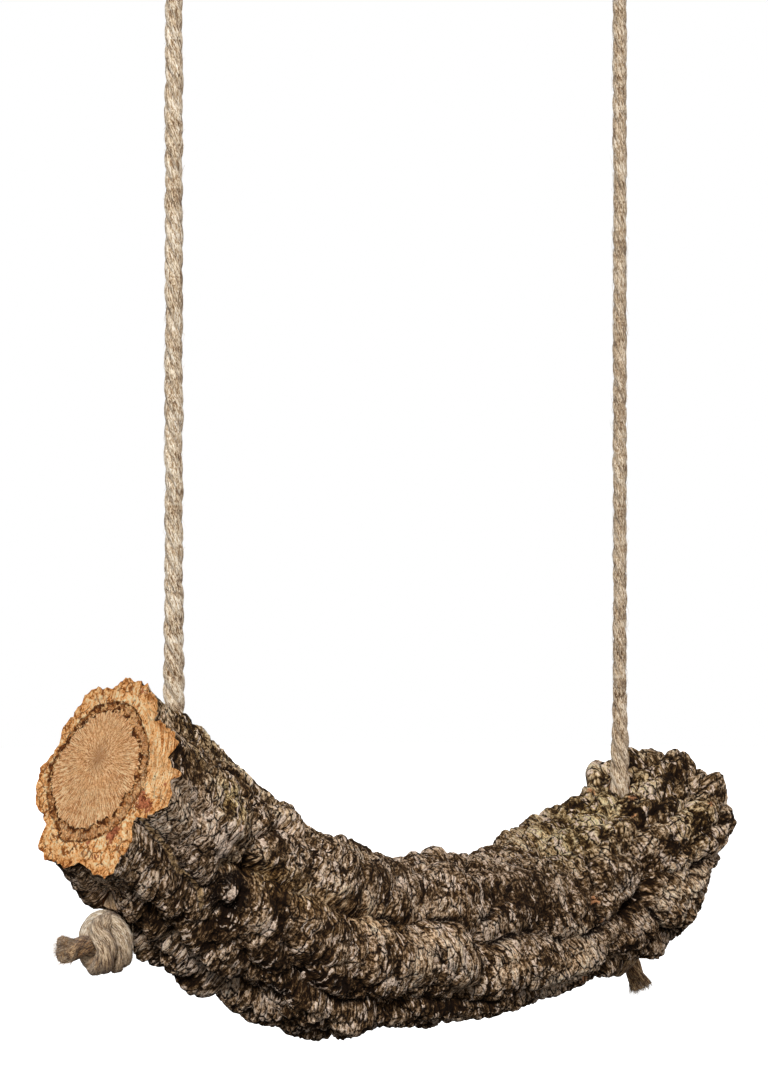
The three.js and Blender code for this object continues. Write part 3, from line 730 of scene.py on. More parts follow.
# A line's direction, and two square to it that are carried along it without twisting, at each point.
def carried(line):
    ahead = unit(np.gradient(line, axis=0))
    across = np.array((1.0, 0.0, 0.0))
    sides = []
    for direction in ahead:
        across = across - direction * (across @ direction)
        across = across / np.linalg.norm(across)
        sides.append(across)
    sides = np.array(sides)
    return ahead, sides, np.cross(ahead, sides)


# The direction at an angle between two that are square to each other.
def turned(side, other, angle):
    return side * np.cos(angle)[:, None] + other * np.sin(angle)[:, None]


# One strand: a wrapped sheet with yarns on its surface, thicker and thinner as it goes.
def add_strand(shell, line, distance, diameter, strand, seed, flare, soil_and_shade):
    mesh, row, column = sheet_of_points("strand", len(line) - 1, STRAND_SIDES)
    row = row.astype(int)
    _, side, other = carried(line)
    far = distance[row]
    lay = LAY_LENGTH * diameter / ROPE_DIAMETER
    own = np.full(len(far), strand * 7.3)
    wave = np.stack([far / UNEVEN_LENGTH, own, np.full(len(far), float(seed))], axis=1)
    uneven = 1 + 0.12 * swell(wave, 3) + 0.06 * swell(wave * (4.1, 1, 1), 5)
    turn = 2 * np.pi * (strand / STRANDS - far / lay)
    turn = turn + 0.5 * swell(wave * (0.45, 0, 1), 9) + 0.2 * swell(wave * (0.7, 1, 1), 9)
    spread = np.interp(far, distance, flare)
    strand_radius = diameter * STRAND_SHARE * uneven * (0.5 + 0.5 * spread)
    offset = (diameter / 2 - diameter * STRAND_SHARE) * 1.02 * spread
    outward = turned(side[row], other[row], turn)
    round_it = turned(other[row], -side[row], turn)
    angle = 2 * np.pi * column / STRAND_SIDES
    yarn_turn = YARNS * (angle + turn) + 2.5 * swell(wave * 2, 13)
    section = strand_radius * (1 + YARN_DEPTH * np.cos(yarn_turn))
    middle = line[row] + outward * offset[:, None]
    places = middle + outward * (np.cos(angle) * section)[:, None] \
        + round_it * (np.sin(angle) * section * STRAND_WIDENING)[:, None]
    ends = (row == 0) | (row == len(line) - 1)
    move_points(mesh, np.where(ends[:, None], middle, places))
    fibre_turn = angle + turn
    around = np.stack([np.cos(fibre_turn), np.sin(fibre_turn)], axis=1) * diameter * STRAND_SHARE
    note(mesh, "fibre_place", np.hstack([around, far[:, None]]) * MM)
    note(mesh, "strand_groove_shade", 0.5 - 0.5 * np.cos(angle))
    note(mesh, "soil_and_shade", np.interp(far, distance, soil_and_shade) + 0.12 * swell(wave * (3, 1, 1), 17))
    shell.from_mesh(mesh)
    bpy.data.meshes.remove(mesh)


# Loose fibres that leave the strands: thin tapered tubes, each with four columns of one long sheet.
def add_fibres(shell, roots, directions, lengths, bends, soil_and_shade):
    mesh, row, column = sheet_of_points("fibres", FIBRE_ROWS - 1, 4 * len(roots) - 1)
    number = (column // 4).astype(int)
    angle = 2 * np.pi * (column % 4) / 3
    share = row / (FIBRE_ROWS - 1)
    across = unit(np.cross(directions, (0.31, 0.52, 0.79)))
    other = np.cross(directions, across)
    reach = lengths[number] * share
    middle = roots[number] + directions[number] * reach[:, None] + bends[number] * (share ** 2)[:, None]
    thickness = FIBRE_RADIUS * np.where(row == 0, 0, 1 - share ** 3)
    move_points(mesh, middle + turned(across[number], other[number], angle) * thickness[:, None])
    note(mesh, "fibre_place", np.stack([number * 0.37, share * 0, reach], axis=1) * MM)
    note(mesh, "strand_groove_shade", np.zeros(len(row)))
    note(mesh, "soil_and_shade", soil_and_shade[number])
    fibre_mesh = bmesh.new()
    fibre_mesh.from_mesh(mesh)
    between = [face for face in fibre_mesh.faces if len({number[v.index] for v in face.verts}) > 1]
    bmesh.ops.delete(fibre_mesh, geom=between, context="FACES")
    fibre_mesh.to_mesh(mesh)
    fibre_mesh.free()
    shell.from_mesh(mesh)
    bpy.data.meshes.remove(mesh)


# Fibres scattered over a rope: most lie along it, and some stand off it.
def add_loose_fibres(shell, line, distance, diameter, seed, count, soil_and_shade):
    draw = np.random.default_rng(seed)
    ahead, side, other = carried(line)
    at = draw.integers(1, len(line) - 1, count)
    turn = draw.uniform(0, 2 * np.pi, count)
    outward = turned(side[at], other[at], turn)
    round_it = np.cross(ahead[at], outward)
    lengths = np.minimum(draw.gamma(3.0, 2.3, count), LOOSE_LENGTH)
    roots = line[at] + outward * diameter * 0.44
    lying = draw.random(count) < LYING_SHARE
    lift = np.where(lying, draw.uniform(0.0, 0.1, count), draw.uniform(0.1, 0.45, count))[:, None]
    drift = draw.uniform(-0.3, 0.45, count)[:, None]
    way = np.where(draw.random(count) < 0.5, 1, -1)
    way = np.where(distance[at] > distance[-1] - LOOSE_END, -1, way)
    way = np.where(distance[at] < LOOSE_END, 1, way)
    directions = unit(ahead[at] * way[:, None] + outward * lift + round_it * drift)
    bends = (draw.normal(0, 0.16, (count, 3)) - outward * 0.12) * lengths[:, None]
    tips = directions * lengths[:, None] + bends
    away = tips - ahead[at] * np.einsum("ij,ij->i", tips, ahead[at])[:, None]
    limit = np.minimum(1, LOOSE_REACH / np.maximum(np.linalg.norm(away, axis=1), 0.1))
    add_fibres(shell, roots, directions, lengths * limit, bends * limit[:, None],
               0.6 * soil_and_shade[at] + draw.uniform(-0.1, 0.25, count))


# The cut end of a rope, where the fibres stand out like a brush.
def add_brush(shell, line, diameter, seed, frayed, soil_and_shade):
    draw = np.random.default_rng(seed + BRUSH_SEED)
    ahead, side, other = carried(line)
    radius = diameter * 0.56 * np.sqrt(draw.random(BRUSH_FIBRES))
    turn = draw.uniform(0, 2 * np.pi, BRUSH_FIBRES)
    outward = turned(side[-1], other[-1], turn)
    roots = line[-1] - ahead[-1] * BRUSH_ROOT + outward * radius[:, None]
    spread = (radius / diameter * frayed)[:, None]
    directions = unit(ahead[-1] + outward * spread + draw.normal(0, 0.09, (BRUSH_FIBRES, 3)))
    lengths = draw.uniform(5.5, 8.5, BRUSH_FIBRES)
    bends = draw.normal(0, 0.26, (BRUSH_FIBRES, 3)) * lengths[:, None]
    add_fibres(shell, roots, directions, lengths, bends, soil_and_shade * draw.uniform(0.0, 1.15, BRUSH_FIBRES))


# A whole rope: its strands, its loose fibres and, where it is frayed, the brush at its end.
def make_rope(name, route, diameter, finish, seed, fibres, soiling_and_shade, frayed=0.0, girth=None, grime_and_shade=0.0):
    line, distance = along_route(route, RING_STEP)
    left = distance[-1] - distance
    flare = 1 + frayed * np.exp(-(left / FRAY_LENGTH) ** 2)
    if girth:
        mouth_height, widths = girth
        flare = flare * np.interp(line[:, 2] - mouth_height, *zip(*widths))
    soil_and_shade = np.interp(distance, np.linspace(0, distance[-1], len(soiling_and_shade)), soiling_and_shade)
    # Lower down the knot is made browner, part dirt and part painted shade.
    below = (line[:, 2].mean() - line[:, 2]) / GRIME_AND_SHADE_FADE
    soil_and_shade = np.clip(soil_and_shade + grime_and_shade * smooth(0.5 + below), 0, 1)
    shell = bmesh.new()
    for strand in range(STRANDS):
        add_strand(shell, line, distance, diameter, strand, seed, flare, soil_and_shade)
    add_loose_fibres(shell, line, distance, diameter, seed, fibres, soil_and_shade)
    if frayed:
        add_brush(shell, line, diameter, seed, frayed, soil_and_shade[-1])
    mesh = bpy.data.meshes.new(name)
    shell.to_mesh(mesh)
    shell.free()
    close_up(mesh)
    return new_piece(name, mesh, [finish]), line


# Height of a sawn end: streaks in the wood, a crumbled ring of inner bark, and crumbly cork.
def cut_relief(place, past_wood, past_ring):
    wander = 1.6 * rough_noise(place / 6, 73)
    band = smooth((past_wood + wander) / 1.2) * smooth((0.4 - past_ring - wander) / 1.2)
    height = 0.12 * swell(place / 3, 71) - band * (1.1 + 0.8 * swell(place / 2.2, 75))
    cork = smooth(past_ring / 1.5)
    return height + cork * (0.9 * rough_noise(place / 5, 77) - 0.5 * np.abs(swell(place / 3, 79)))


# Where the valley and the seam show on the bark, and where shade is painted in the cracks, the creases and
# the twig scar's pit.
def bark_marks(s, degrees, wander, crease, crack):
    off_valley, _ = off_path(VALLEY, s + wander, degrees)
    off_seam, _ = off_path(SEAM, s + 0.5 * wander, degrees + wander)
    off_scar = np.hypot(s - TWIG_SCAR[0], arc_between(degrees, TWIG_SCAR[1])) + 0.7 * wander
    scar_pit_shade = 1.2 * np.exp(-((off_scar - SCAR_RING) / SCAR_RING_WIDTH) ** 2)
    crease_shade = crease * (0.3 + smooth((s - 120) / 100))
    return {
        "valley": np.exp(-(off_valley / VALLEY_WIDTH) ** 2) * smooth((VALLEY_END - s) / VALLEY_FADE),
        "off_seam": off_seam / SEAM_WIDTH,
        "crack": np.clip(np.maximum(np.maximum(crack, crease_shade), scar_pit_shade), 0, 1),
    }


def reddish_at(face_place):
    reddish = np.zeros(len(face_place))
    for up, across, size, strength in REDDISH:
        away = (face_place[:, 0] - up) ** 2 + (face_place[:, 1] - across) ** 2
        reddish += strength * np.exp(-away / size ** 2)
    return reddish


# Gives the faces of the two cuts the second finish.
def finish_cuts(mesh, row):
    corners = np.empty(len(mesh.polygons) * 4, np.int32)
    mesh.polygons.foreach_get("vertices", corners)
    middle_row = row[corners].reshape(-1, 4).mean(axis=1)
    on_cut = (middle_row < LEFT_FACE_ROWS) | (middle_row > LEFT_FACE_ROWS + BARK_ROWS)
    mesh.polygons.foreach_set("material_index", on_cut.astype(np.int32))


# The whole skin of the branch: the left cut, the bark and the right cut as one wrapped sheet.
def make_branch(finishes):
    rows = LEFT_FACE_ROWS + BARK_ROWS + RIGHT_FACE_ROWS
    mesh, row, column = sheet_of_points("cork_branch", rows, BARK_POINTS)
    degrees = spread_round(column / BARK_POINTS)
    phi = np.radians(degrees)
    s = BRANCH_LENGTH * np.clip((row - LEFT_FACE_ROWS) / BARK_ROWS, 0, 1)
    place = on_cylinder(s, degrees)
    wander = 2.4 * rough_noise(place / 12, 23, 2)
    depth, crease, drawn = furrows_at(s + wander, degrees + wander)
    crease = crease * smooth(0.55 + 1.4 * swell(place / 9, 25))
    grain = s + 0.8 * drawn + 2.6 * rough_noise(place / 34, 21, 2) + 0.4 * rough_noise(place / 11, 29, 2)
    tints = {}
    for name, spots in TINTS.items():
        tints[name] = np.clip(sum(bump_at(spot, s, degrees) for spot in spots), 0, 1)
    fine, crack = fine_relief(s, degrees, grain)
    fine = fine * (1 - 0.45 * tints["grey"])

    # The bark's own radius, which gives way to the ragged rim near the left cut.
    centre, reach, top, front = rings(s)
    near_rim = np.exp(-s / RIM_FADE)
    bark = plain_radius(reach, phi) + main_relief(s, degrees, depth)
    rim = by_angle(LEFT_RIM, 1, degrees) + rim_teeth(degrees) * np.exp(-s / TEETH_FADE)
    radius = bark * (1 - near_rim) + rim * near_rim + fine * (1 - 0.5 * near_rim) - CREASE_DEPTH * crease

    # On a cut the sheet runs in from the rim to the middle, and is as rough as the cut's wood, bark and cork.
    face_share = np.minimum(np.minimum(row / LEFT_FACE_ROWS, (rows - row) / RIGHT_FACE_ROWS), 1)
    flat = radius * face_share
    face_place = np.stack([flat * np.cos(phi), flat * np.sin(phi), s], axis=1)
    past_ring = flat - by_angle(RING, 1, degrees)
    past_wood = past_ring + by_angle(RING, 2, degrees)
    outward = np.where((s < BRANCH_LENGTH)[:, None], LEFT_CUT_NORMAL, RIGHT_CUT_NORMAL)
    lift = cut_relief(face_place, past_wood, past_ring) * (face_share < 1)
    move_points(mesh, place_on_ring(centre, top, front, degrees, flat) + outward * lift[:, None])
    notes = {
        "bark_place": place * MM,
        "grain_place": np.stack([grain, place[:, 1], place[:, 2]], axis=1) * MM,
        "face_place": face_place * MM,
        "face_share": face_share,
        "past_ring": past_ring,
        "past_wood": past_wood,
        # How high the fine relief stands; the bark's finish lightens crests and paints shade in hollows from
        # it.
        "crest": np.clip(0.5 + fine / 3, 0, 1),
        "layered": bump_at(LAYERED, 0 * s, degrees),
        "reddish": reddish_at(face_place) * (face_share < 1),
        **bark_marks(s, degrees, wander, crease, crack),
        **tints,
    }
    for name, values in notes.items():
        note(mesh, name, values)
    finish_cuts(mesh, row)
    close_up(mesh)
    return new_piece("cork_branch", mesh, finishes)


# Drills the two rope holes through the branch and keeps the drilled walls as a finish of their own.
def drill(branch):
    for name, rope in ROPES.items():
        line, _ = along_route(hole_route(rope), DRILL_STEP)
        mesh, row, column = sheet_of_points("drill", len(line) - 1, DRILL_SIDES)
        row = row.astype(int)
        _, side, other = carried(line)
        ends = (row == 0) | (row == len(line) - 1)
        radius = np.where(ends, 0, HOLE_DIAMETER / 2)
        move_points(mesh, place_on_ring(line[row], side[row], other[row], 360 * column / DRILL_SIDES, radius))
        mesh.polygons.foreach_set("material_index", np.full(len(mesh.polygons), DRILLED_FINISH, np.int32))
        close_up(mesh)
        cutter = new_piece("drill_" + name, mesh, branch.data.materials[:])
        cut = branch.modifiers.new("hole_" + name, "BOOLEAN")
        cut.operation = "DIFFERENCE"
        cut.solver = "MANIFOLD"
        cut.object = cutter
    drilled = bpy.data.meshes.new_from_object(branch.evaluated_get(bpy.context.evaluated_depsgraph_get()))
    drilled.name = "cork_branch"
    branch.modifiers.clear()
    branch.data = drilled
    for name in ROPES:
        bpy.data.objects.remove(bpy.data.objects["drill_" + name])


# Colours as read off a screen, turned into the renderer's own numbers.
def colour(red, green, blue):
    def linear(value):
        value /= 255
        return value / 12.92 if value <= 0.04045 else ((value + 0.055) / 1.055) ** 2.4

    return linear(red), linear(green), linear(blue), 1.0


# Short words for a material's nodes, each giving back the socket that it makes.
class Finish:
    def __init__(self, name, roughness, specular):
        self.material = bpy.data.materials.new(name)
        self.material.use_nodes = True
        self.tree = self.material.node_tree
        self.tree.nodes.clear()
        self.shader = self.tree.nodes.new("ShaderNodeBsdfPrincipled")
        self.shader.inputs["Roughness"].default_value = roughness
        self.shader.inputs["Specular IOR Level"].default_value = specular
        output = self.tree.nodes.new("ShaderNodeOutputMaterial")
        self.tree.links.new(self.shader.outputs["BSDF"], output.inputs["Surface"])

    def put(self, socket, value):
        if isinstance(value, bpy.types.NodeSocket):
            self.tree.links.new(value, socket)
        elif value is not None:
            socket.default_value = value

    # A node with its settings and inputs, giving back its outputs.
    def node(self, kind, inputs, **settings):
        node = self.tree.nodes.new(kind)
        for name, value in settings.items():
            setattr(node, name, value)
        for name, value in inputs.items():
            self.put(node.inputs[name], value)
        return node.outputs

    def number(self, name):
        return self.node("ShaderNodeAttribute", {}, attribute_name=name)["Fac"]

    def vector(self, name):
        return self.node("ShaderNodeAttribute", {}, attribute_name=name)["Vector"]

    # Noise and plates take a place and how many of their waves or cells fit in a metre, each way.
    def scaled(self, place, per_metre):
        return self.node("ShaderNodeMapping", {"Vector": place, "Scale": per_metre})["Vector"]

    def noise(self, place, per_metre=(1, 1, 1), detail=3, roughness=0.55, distortion=0.0):
        return self.node("ShaderNodeTexNoise", {
            "Vector": self.scaled(place, per_metre), "Scale": 1.0,
            "Detail": detail, "Roughness": roughness, "Distortion": distortion,
        })["Fac"]

    # Cells round scattered points: how far a place is from its cell's edge, and a random tone for the cell.
    def plates(self, place, per_metre):
        inputs = {"Vector": self.scaled(place, per_metre), "Scale": 1.0}
        gap = self.node("ShaderNodeTexVoronoi", inputs, feature="DISTANCE_TO_EDGE")["Distance"]
        return gap, self.node("ShaderNodeTexVoronoi", inputs, feature="F1")["Color"]

    # A place pushed about by noise, by about reach metres each way.
    def shaken(self, place, waves, reach):
        noise = self.node("ShaderNodeTexNoise", {"Vector": place, "Scale": waves, "Detail": 2})["Color"]
        return self.vectors("MULTIPLY_ADD", noise, (4 * reach,) * 3, place)

    def vectors(self, operation, first, second=(0, 0, 0), third=(0, 0, 0)):
        outputs = self.node("ShaderNodeVectorMath", {0: first, 1: second, 2: third}, operation=operation)
        return outputs["Value" if operation == "LENGTH" else "Vector"]

    def upward(self, value):
        return self.node("ShaderNodeCombineXYZ", {"Z": value})["Vector"]

    # Eased from start to end as a value goes from low to high.
    def span(self, value, low, high, start=0.0, end=1.0):
        return self.node("ShaderNodeMapRange", {
            "Value": value, "From Min": low, "From Max": high, "To Min": start, "To Max": end,
        }, interpolation_type="SMOOTHSTEP")["Result"]

    def combined(self, operation, *values):
        total = values[0]
        for value in values[1:]:
            total = self.node("ShaderNodeMath", {0: total, 1: value}, operation=operation)[0]
        return total

    def plus(self, *values):
        return self.combined("ADD", *values)

    def times(self, *values):
        return self.combined("MULTIPLY", *values)

    def blend(self, share, first, second, how="MIX"):
        inputs = {"Factor": share, 6: first, 7: second}
        return self.node("ShaderNodeMix", inputs, data_type="RGBA", blend_type=how)[2]

    # Colours along a value: where each stands, then its red, green and blue.
    def ramp(self, value, *stops):
        node = self.tree.nodes.new("ShaderNodeValToRGB")
        self.put(node.inputs["Fac"], value)
        band = node.color_ramp
        while len(band.elements) < len(stops):
            band.elements.new(1.0)
        for element, (position, *shade) in zip(band.elements, stops):
            element.position = position
            element.color = colour(*shade)
        return node.outputs["Color"]

    def bump(self, height, distance, onto=None, strength=1.0):
        inputs = {"Strength": strength, "Distance": distance, "Height": height, "Normal": onto}
        return self.node("ShaderNodeBump", inputs)["Normal"]

    def done(self, base, normal=None):
        self.put(self.shader.inputs["Base Color"], base)
        self.put(self.shader.inputs["Normal"], normal)
        return self.material


# Dark bark in small plates that are longer round the branch than along it, many of them worn pale.
def cork_bark():
    finish = Finish("cork_bark", roughness=0.9, specular=0.12)
    span, plus, times, number = finish.span, finish.plus, finish.times, finish.number
    place = finish.vector("bark_place")
    crest, valley, grey, soot_and_shade = number("crest"), number("valley"), number("grey"), number("soot_and_shade")
    grain = finish.shaken(finish.vector("grain_place"), 260, 0.0004)
    gap, shade = finish.plates(grain, (230, 105, 105))
    chip_gap, chip_shade = finish.plates(grain, (800, 185, 185))
    lines = finish.noise(grain, (1500, 130, 130), detail=2)
    crumbs = finish.noise(place, (620, 620, 620), detail=4, roughness=0.72)
    patches = finish.noise(place, (60, 45, 45))
    clusters = finish.noise(place, (120, 90, 90), roughness=0.6)
    # The tone is lighter on crests and darker in hollows, part wear and part painted shade.
    tone = plus(
        span(crumbs, 0.33, 0.67, 0.22, 0.66), span(patches, 0.3, 0.7, -0.19, 0.18),
        span(shade, 0, 1, -0.1, 0.1), span(chip_shade, 0.1, 0.9, -0.09, 0.09),
        span(lines, 0.43, 0.57, -0.07, 0.07), span(crest, 0.2, 0.85, -0.24, 0.2),
        span(number("tan"), 0, 1, 0, 0.25), span(number("moss"), 0, 1, 0, 0.07),
        span(valley, 0.2, 1, 0, 0.08), span(grey, 0, 1, 0, 0.09), span(soot_and_shade, 0, 1, 0, -0.26),
    )
    base = finish.ramp(
        tone, (0.06, 32, 18, 6), (0.24, 64, 42, 21), (0.39, 100, 75, 47), (0.53, 148, 117, 84),
        (0.66, 212, 180, 150), (0.85, 240, 212, 182), (1.00, 252, 234, 212))
    for name, strength, cast in (
        ("grey", 0.8, (0.94, 0.99, 1.12, 1)), ("moss", 0.8, (0.96, 0.98, 0.66, 1)),
        ("valley", 0.7, (1.0, 0.9, 0.7, 1)), ("tan", 0.6, (1.08, 1.0, 0.84, 1)),
    ):
        base = finish.blend(times(number(name), strength), base, cast, "MULTIPLY")
    # Painted shade along the edges between chips.
    edge = times(span(chip_gap, 0.15, 0.03), span(crumbs, 0.6, 0.42), 0.8)
    base = finish.blend(edge, base, colour(32, 17, 6))

    # Plates that are worn pale, single worn places, and orange ones where a chip has come off.
    pale = finish.ramp(span(crumbs, 0.3, 0.7), (0.1, 156, 124, 98), (0.65, 247, 222, 200))
    orange = finish.ramp(span(crumbs, 0.3, 0.7), (0.15, 120, 70, 40), (0.7, 224, 160, 112))
    chosen = plus(
        chip_shade, span(clusters, 0.35, 0.65, -0.24, 0.16), span(crest, 0.25, 0.8, -0.18, 0.09),
        times(grey, -0.1), span(crumbs, 0.3, 0.7, -0.05, 0.04), times(valley, -0.14), times(soot_and_shade, -0.1),
        span(chip_gap, 0, 0.12, -0.2, 0))
    base = finish.blend(span(chosen, 0.71, 0.74), base, pale)
    worn = plus(number("worn"), span(crumbs, 0.35, 0.65, -0.3, 0.15), span(chip_shade, 0.1, 0.9, -0.2, 0.2))
    base = finish.blend(span(worn, 0.45, 0.55), base, pale)
    chip = plus(number("chip"), span(crumbs, 0.35, 0.65, -0.35, 0.15))
    base = finish.blend(span(chip, 0.45, 0.55), base, orange)

    # The tan seam and its dark sides, and painted shade in the plate gaps, cracks, furrow creases and the
    # twig scar's pit.
    seam = plus(number("off_seam"), span(crumbs, 0.3, 0.7, -0.5, 0.5))
    seam_share = times(span(seam, 1.5, 0.8), span(crumbs, 0.36, 0.52, 0.4, 0.95))
    base = finish.blend(seam_share, base, finish.ramp(tone, (0.2, 104, 76, 46), (0.7, 206, 170, 122)))
    beside = span(finish.combined("ABSOLUTE", plus(seam, -1.7), 0), 0.5, 0.2, 0, 0.9)
    deep = finish.combined(
        "MAXIMUM", times(span(gap, 0.08, 0.02), span(clusters, 0.36, 0.48, 0.3, 1)), beside,
        span(number("crack"), 0.32, 0.85))
    base = finish.blend(times(deep, span(crumbs, 0.68, 0.5, 0.4, 1.0)), base, colour(26, 13, 4))
    normal = finish.bump(crumbs, 0.0022)
    for height, distance in ((lines, 0.0008), (span(chip_gap, 0, 0.2), 0.0004), (span(gap, 0, 0.12), 0.0008)):
        normal = finish.bump(height, distance, normal)
    return finish.done(base, normal)


# Crumbled inner bark, in parts of the wood's colour away from its two edges.
def inner_bark_colour(finish, crumbs, crumb_gap, crumb_shade, within, wood):
    grit = finish.plus(finish.times(crumb_shade, 0.5), finish.times(crumbs, 0.5))
    bark = finish.ramp(
        grit, (0.34, 80, 42, 18), (0.44, 144, 84, 42), (0.54, 206, 140, 84), (0.66, 246, 198, 138))
    bark = finish.blend(finish.span(crumb_gap, 0.1, 0.03, 0, 0.6), bark, colour(84, 46, 24))
    return finish.blend(finish.span(within, 1.7, 2.8, 0, 0.45), bark, wood)


# Sawn cork: ochre fibres, orange near the rim, with splits, small holes and reddish pieces.
def sawn_cork_colour(finish, fibres, layered, crumbs, broken, gap, crumb_gap, crumb_shade):
    span, plus, times, number = finish.span, finish.plus, finish.times, finish.number
    fibres = plus(fibres, span(crumbs, 0.3, 0.7, -0.09, 0.09), span(crumb_shade, 0.1, 0.9, -0.035, 0.035))
    ochre = finish.ramp(
        fibres, (0.32, 150, 86, 42), (0.41, 240, 160, 90), (0.50, 255, 200, 136), (0.63, 255, 230, 184))
    orange = finish.ramp(
        fibres, (0.35, 108, 58, 28), (0.46, 208, 132, 68), (0.55, 248, 178, 108), (0.66, 255, 216, 160))
    red = finish.ramp(fibres, (0.36, 90, 38, 20), (0.62, 208, 126, 86))
    outer = plus(number("face_share"), span(crumbs, 0.3, 0.7, -0.06, 0.06))
    cork = finish.blend(span(outer, 0.86, 1.0, 0, 0.9), ochre, orange)
    split = times(span(gap, 0.09, 0.02), span(broken, 0.44, 0.52), span(layered, 0.2, 0.8, 0.9, 0.35))
    cork = finish.blend(split, cork, colour(132, 68, 24))
    hole = times(span(crumb_shade, 0.74, 0.78), span(crumb_gap, 0.1, 0.25), span(broken, 0.55, 0.6))
    cork = finish.blend(hole, cork, colour(104, 58, 30))
    reddish = plus(number("reddish"), span(crumb_shade, 0.2, 0.8, -0.3, 0.25))
    return finish.blend(span(reddish, 0.45, 0.6), cork, red)


# A sawn end: wood with strokes from its pith, crumbled inner bark, then cork in lobes and layers.
def sawn_end():
    finish = Finish("sawn_end", roughness=0.9, specular=0.05)
    span, plus, times, number = finish.span, finish.plus, finish.times, finish.number
    place = finish.vector("face_place")
    from_pith = finish.vectors("SUBTRACT", place, (PITH[0] * MM, PITH[1] * MM, 0))
    flat = finish.vectors("MULTIPLY", from_pith, (1, 1, 0))
    away = finish.vectors("LENGTH", flat)
    around = finish.vectors("NORMALIZE", flat)

    def strokes(count, run, distortion):
        along = finish.upward(times(away, run))
        spread = finish.vectors("MULTIPLY_ADD", around, (count,) * 3, along)
        return finish.noise(spread, roughness=0.66, distortion=distortion)

    crumbs = finish.noise(place, (900, 900, 900), roughness=0.7)
    broken = finish.noise(place, (110, 110, 110), detail=2)
    uneven = finish.shaken(place, 320, 0.0009)
    gap, _ = finish.plates(uneven, (150, 150, 150))
    crumb_gap, crumb_shade = finish.plates(uneven, (620, 620, 620))
    grain = finish.blend(span(away, 0.008, 0.022), strokes(20, 420, 0.5), strokes(52, 230, 0.4))
    tone = plus(grain, span(crumbs, 0.3, 0.7, -0.06, 0.06))
    wood = finish.ramp(
        tone, (0.36, 164, 104, 64), (0.45, 212, 147, 94), (0.52, 241, 182, 125), (0.61, 255, 224, 176))
    wood = finish.blend(span(away, 0.011, 0.001, 0, 0.45), wood, colour(184, 122, 76))

    # The inner bark lies past the wood and short of the ring's outer edge, and both edges wander.
    wander = finish.noise(place, (170, 170, 170), detail=4, roughness=0.7)
    wander = span(wander, 0.2, 0.8, -2.2, 2.2)
    past_ring = plus(number("past_ring"), times(wander, 0.5))
    past_wood = plus(number("past_wood"), wander)
    within = finish.combined("MINIMUM", times(past_ring, -1), past_wood)
    inner_bark = inner_bark_colour(finish, crumbs, crumb_gap, crumb_shade, within, wood)
    layered = number("layered")
    fibres = finish.blend(span(layered, 0.3, 0.7), strokes(16, 330, 0.9), strokes(4, 900, 1.1))
    cork = sawn_cork_colour(finish, fibres, layered, crumbs, broken, gap, crumb_gap, crumb_shade)

    # All three together, with a dark line along the ring's outer edge and dark dashes along the wood.
    base = finish.blend(span(past_wood, -0.4, 0.4), wood, inner_bark)
    base = finish.blend(span(past_ring, -0.3, 0.3), base, cork)
    seam = times(span(finish.combined("ABSOLUTE", past_ring, 0), 0.8, 0.3), span(broken, 0.4, 0.55, 0.2, 0.9))
    base = finish.blend(seam, base, colour(86, 48, 26))
    dashes = times(span(finish.combined("ABSOLUTE", past_wood, 0), 1.1, 0.4), span(crumb_shade, 0.62, 0.5))
    base = finish.blend(dashes, base, colour(76, 42, 22))
    normal = finish.bump(tone, 0.0010)
    normal = finish.bump(crumbs, 0.0012, normal, 0.9)
    normal = finish.bump(span(gap, 0, 0.1), 0.0002, normal)
    return finish.done(base, normal)


# The inside of a drilled hole.
def drilled_wood():
    finish = Finish("drilled_wood", roughness=0.9, specular=0.2)
    place = finish.node("ShaderNodeTexCoord", {})["Object"]
    grain = finish.noise(place, (700, 700, 90), detail=4)
    base = finish.ramp(grain, (0.35, 96, 62, 36), (0.65, 176, 124, 78))
    return finish.done(base, finish.bump(grain, 0.0006))


# Hairy natural fibre in three laid strands, with painted shade in the grooves and gaps between them, browner
# where it is soiled and where shade is painted on.
def rope_fibre():
    finish = Finish("rope_fibre", roughness=0.85, specular=0.2)
    finish.shader.inputs["Sheen Weight"].default_value = 0.2
    finish.shader.inputs["Sheen Roughness"].default_value = 0.5
    span, times = finish.span, finish.times
    place = finish.vector("fibre_place")
    lines = finish.noise(place, (1600, 1600, 330), detail=4, roughness=0.7, distortion=0.9)
    patches = finish.noise(place, (120, 120, 70))
    gaps = finish.noise(place, (260, 260, 110), detail=2)
    tone = finish.plus(span(lines, 0.36, 0.64, 0.14, 0.9), span(patches, 0.3, 0.7, -0.16, 0.12))
    clean = finish.ramp(
        tone, (0.10, 98, 70, 42), (0.28, 160, 128, 94), (0.48, 206, 180, 146), (0.70, 238, 220, 192),
        (0.92, 252, 242, 226))
    # The browner colours, both for dirt and for painted shade.
    soiled_and_shaded = finish.ramp(
        tone, (0.10, 46, 29, 14), (0.34, 106, 72, 40), (0.56, 158, 117, 74), (0.86, 224, 188, 140))
    base = finish.blend(finish.number("soil_and_shade"), clean, soiled_and_shaded)
    # Painted shade in the grooves between strands and in gaps between yarns.
    groove = span(finish.number("strand_groove_shade"), 0.3, 0.75, 0, 0.85)
    groove = times(groove, span(gaps, 0.42, 0.55, 0.15, 1.0))
    pit_shade = times(span(gaps, 0.6, 0.66), span(lines, 0.55, 0.45, 0, 0.8))
    base = finish.blend(finish.combined("MAXIMUM", groove, pit_shade), base, colour(84, 58, 34))
    return finish.done(base, finish.bump(lines, 0.0011))


# A floor that is as white as the ground behind it.
def pale_floor():
    finish = Finish("pale_floor", roughness=0.9, specular=0.0)
    finish.shader.inputs["Emission Color"].default_value = (1, 1, 1, 1)
    finish.shader.inputs["Emission Strength"].default_value = 1.0
    return finish.done(colour(250, 250, 250))


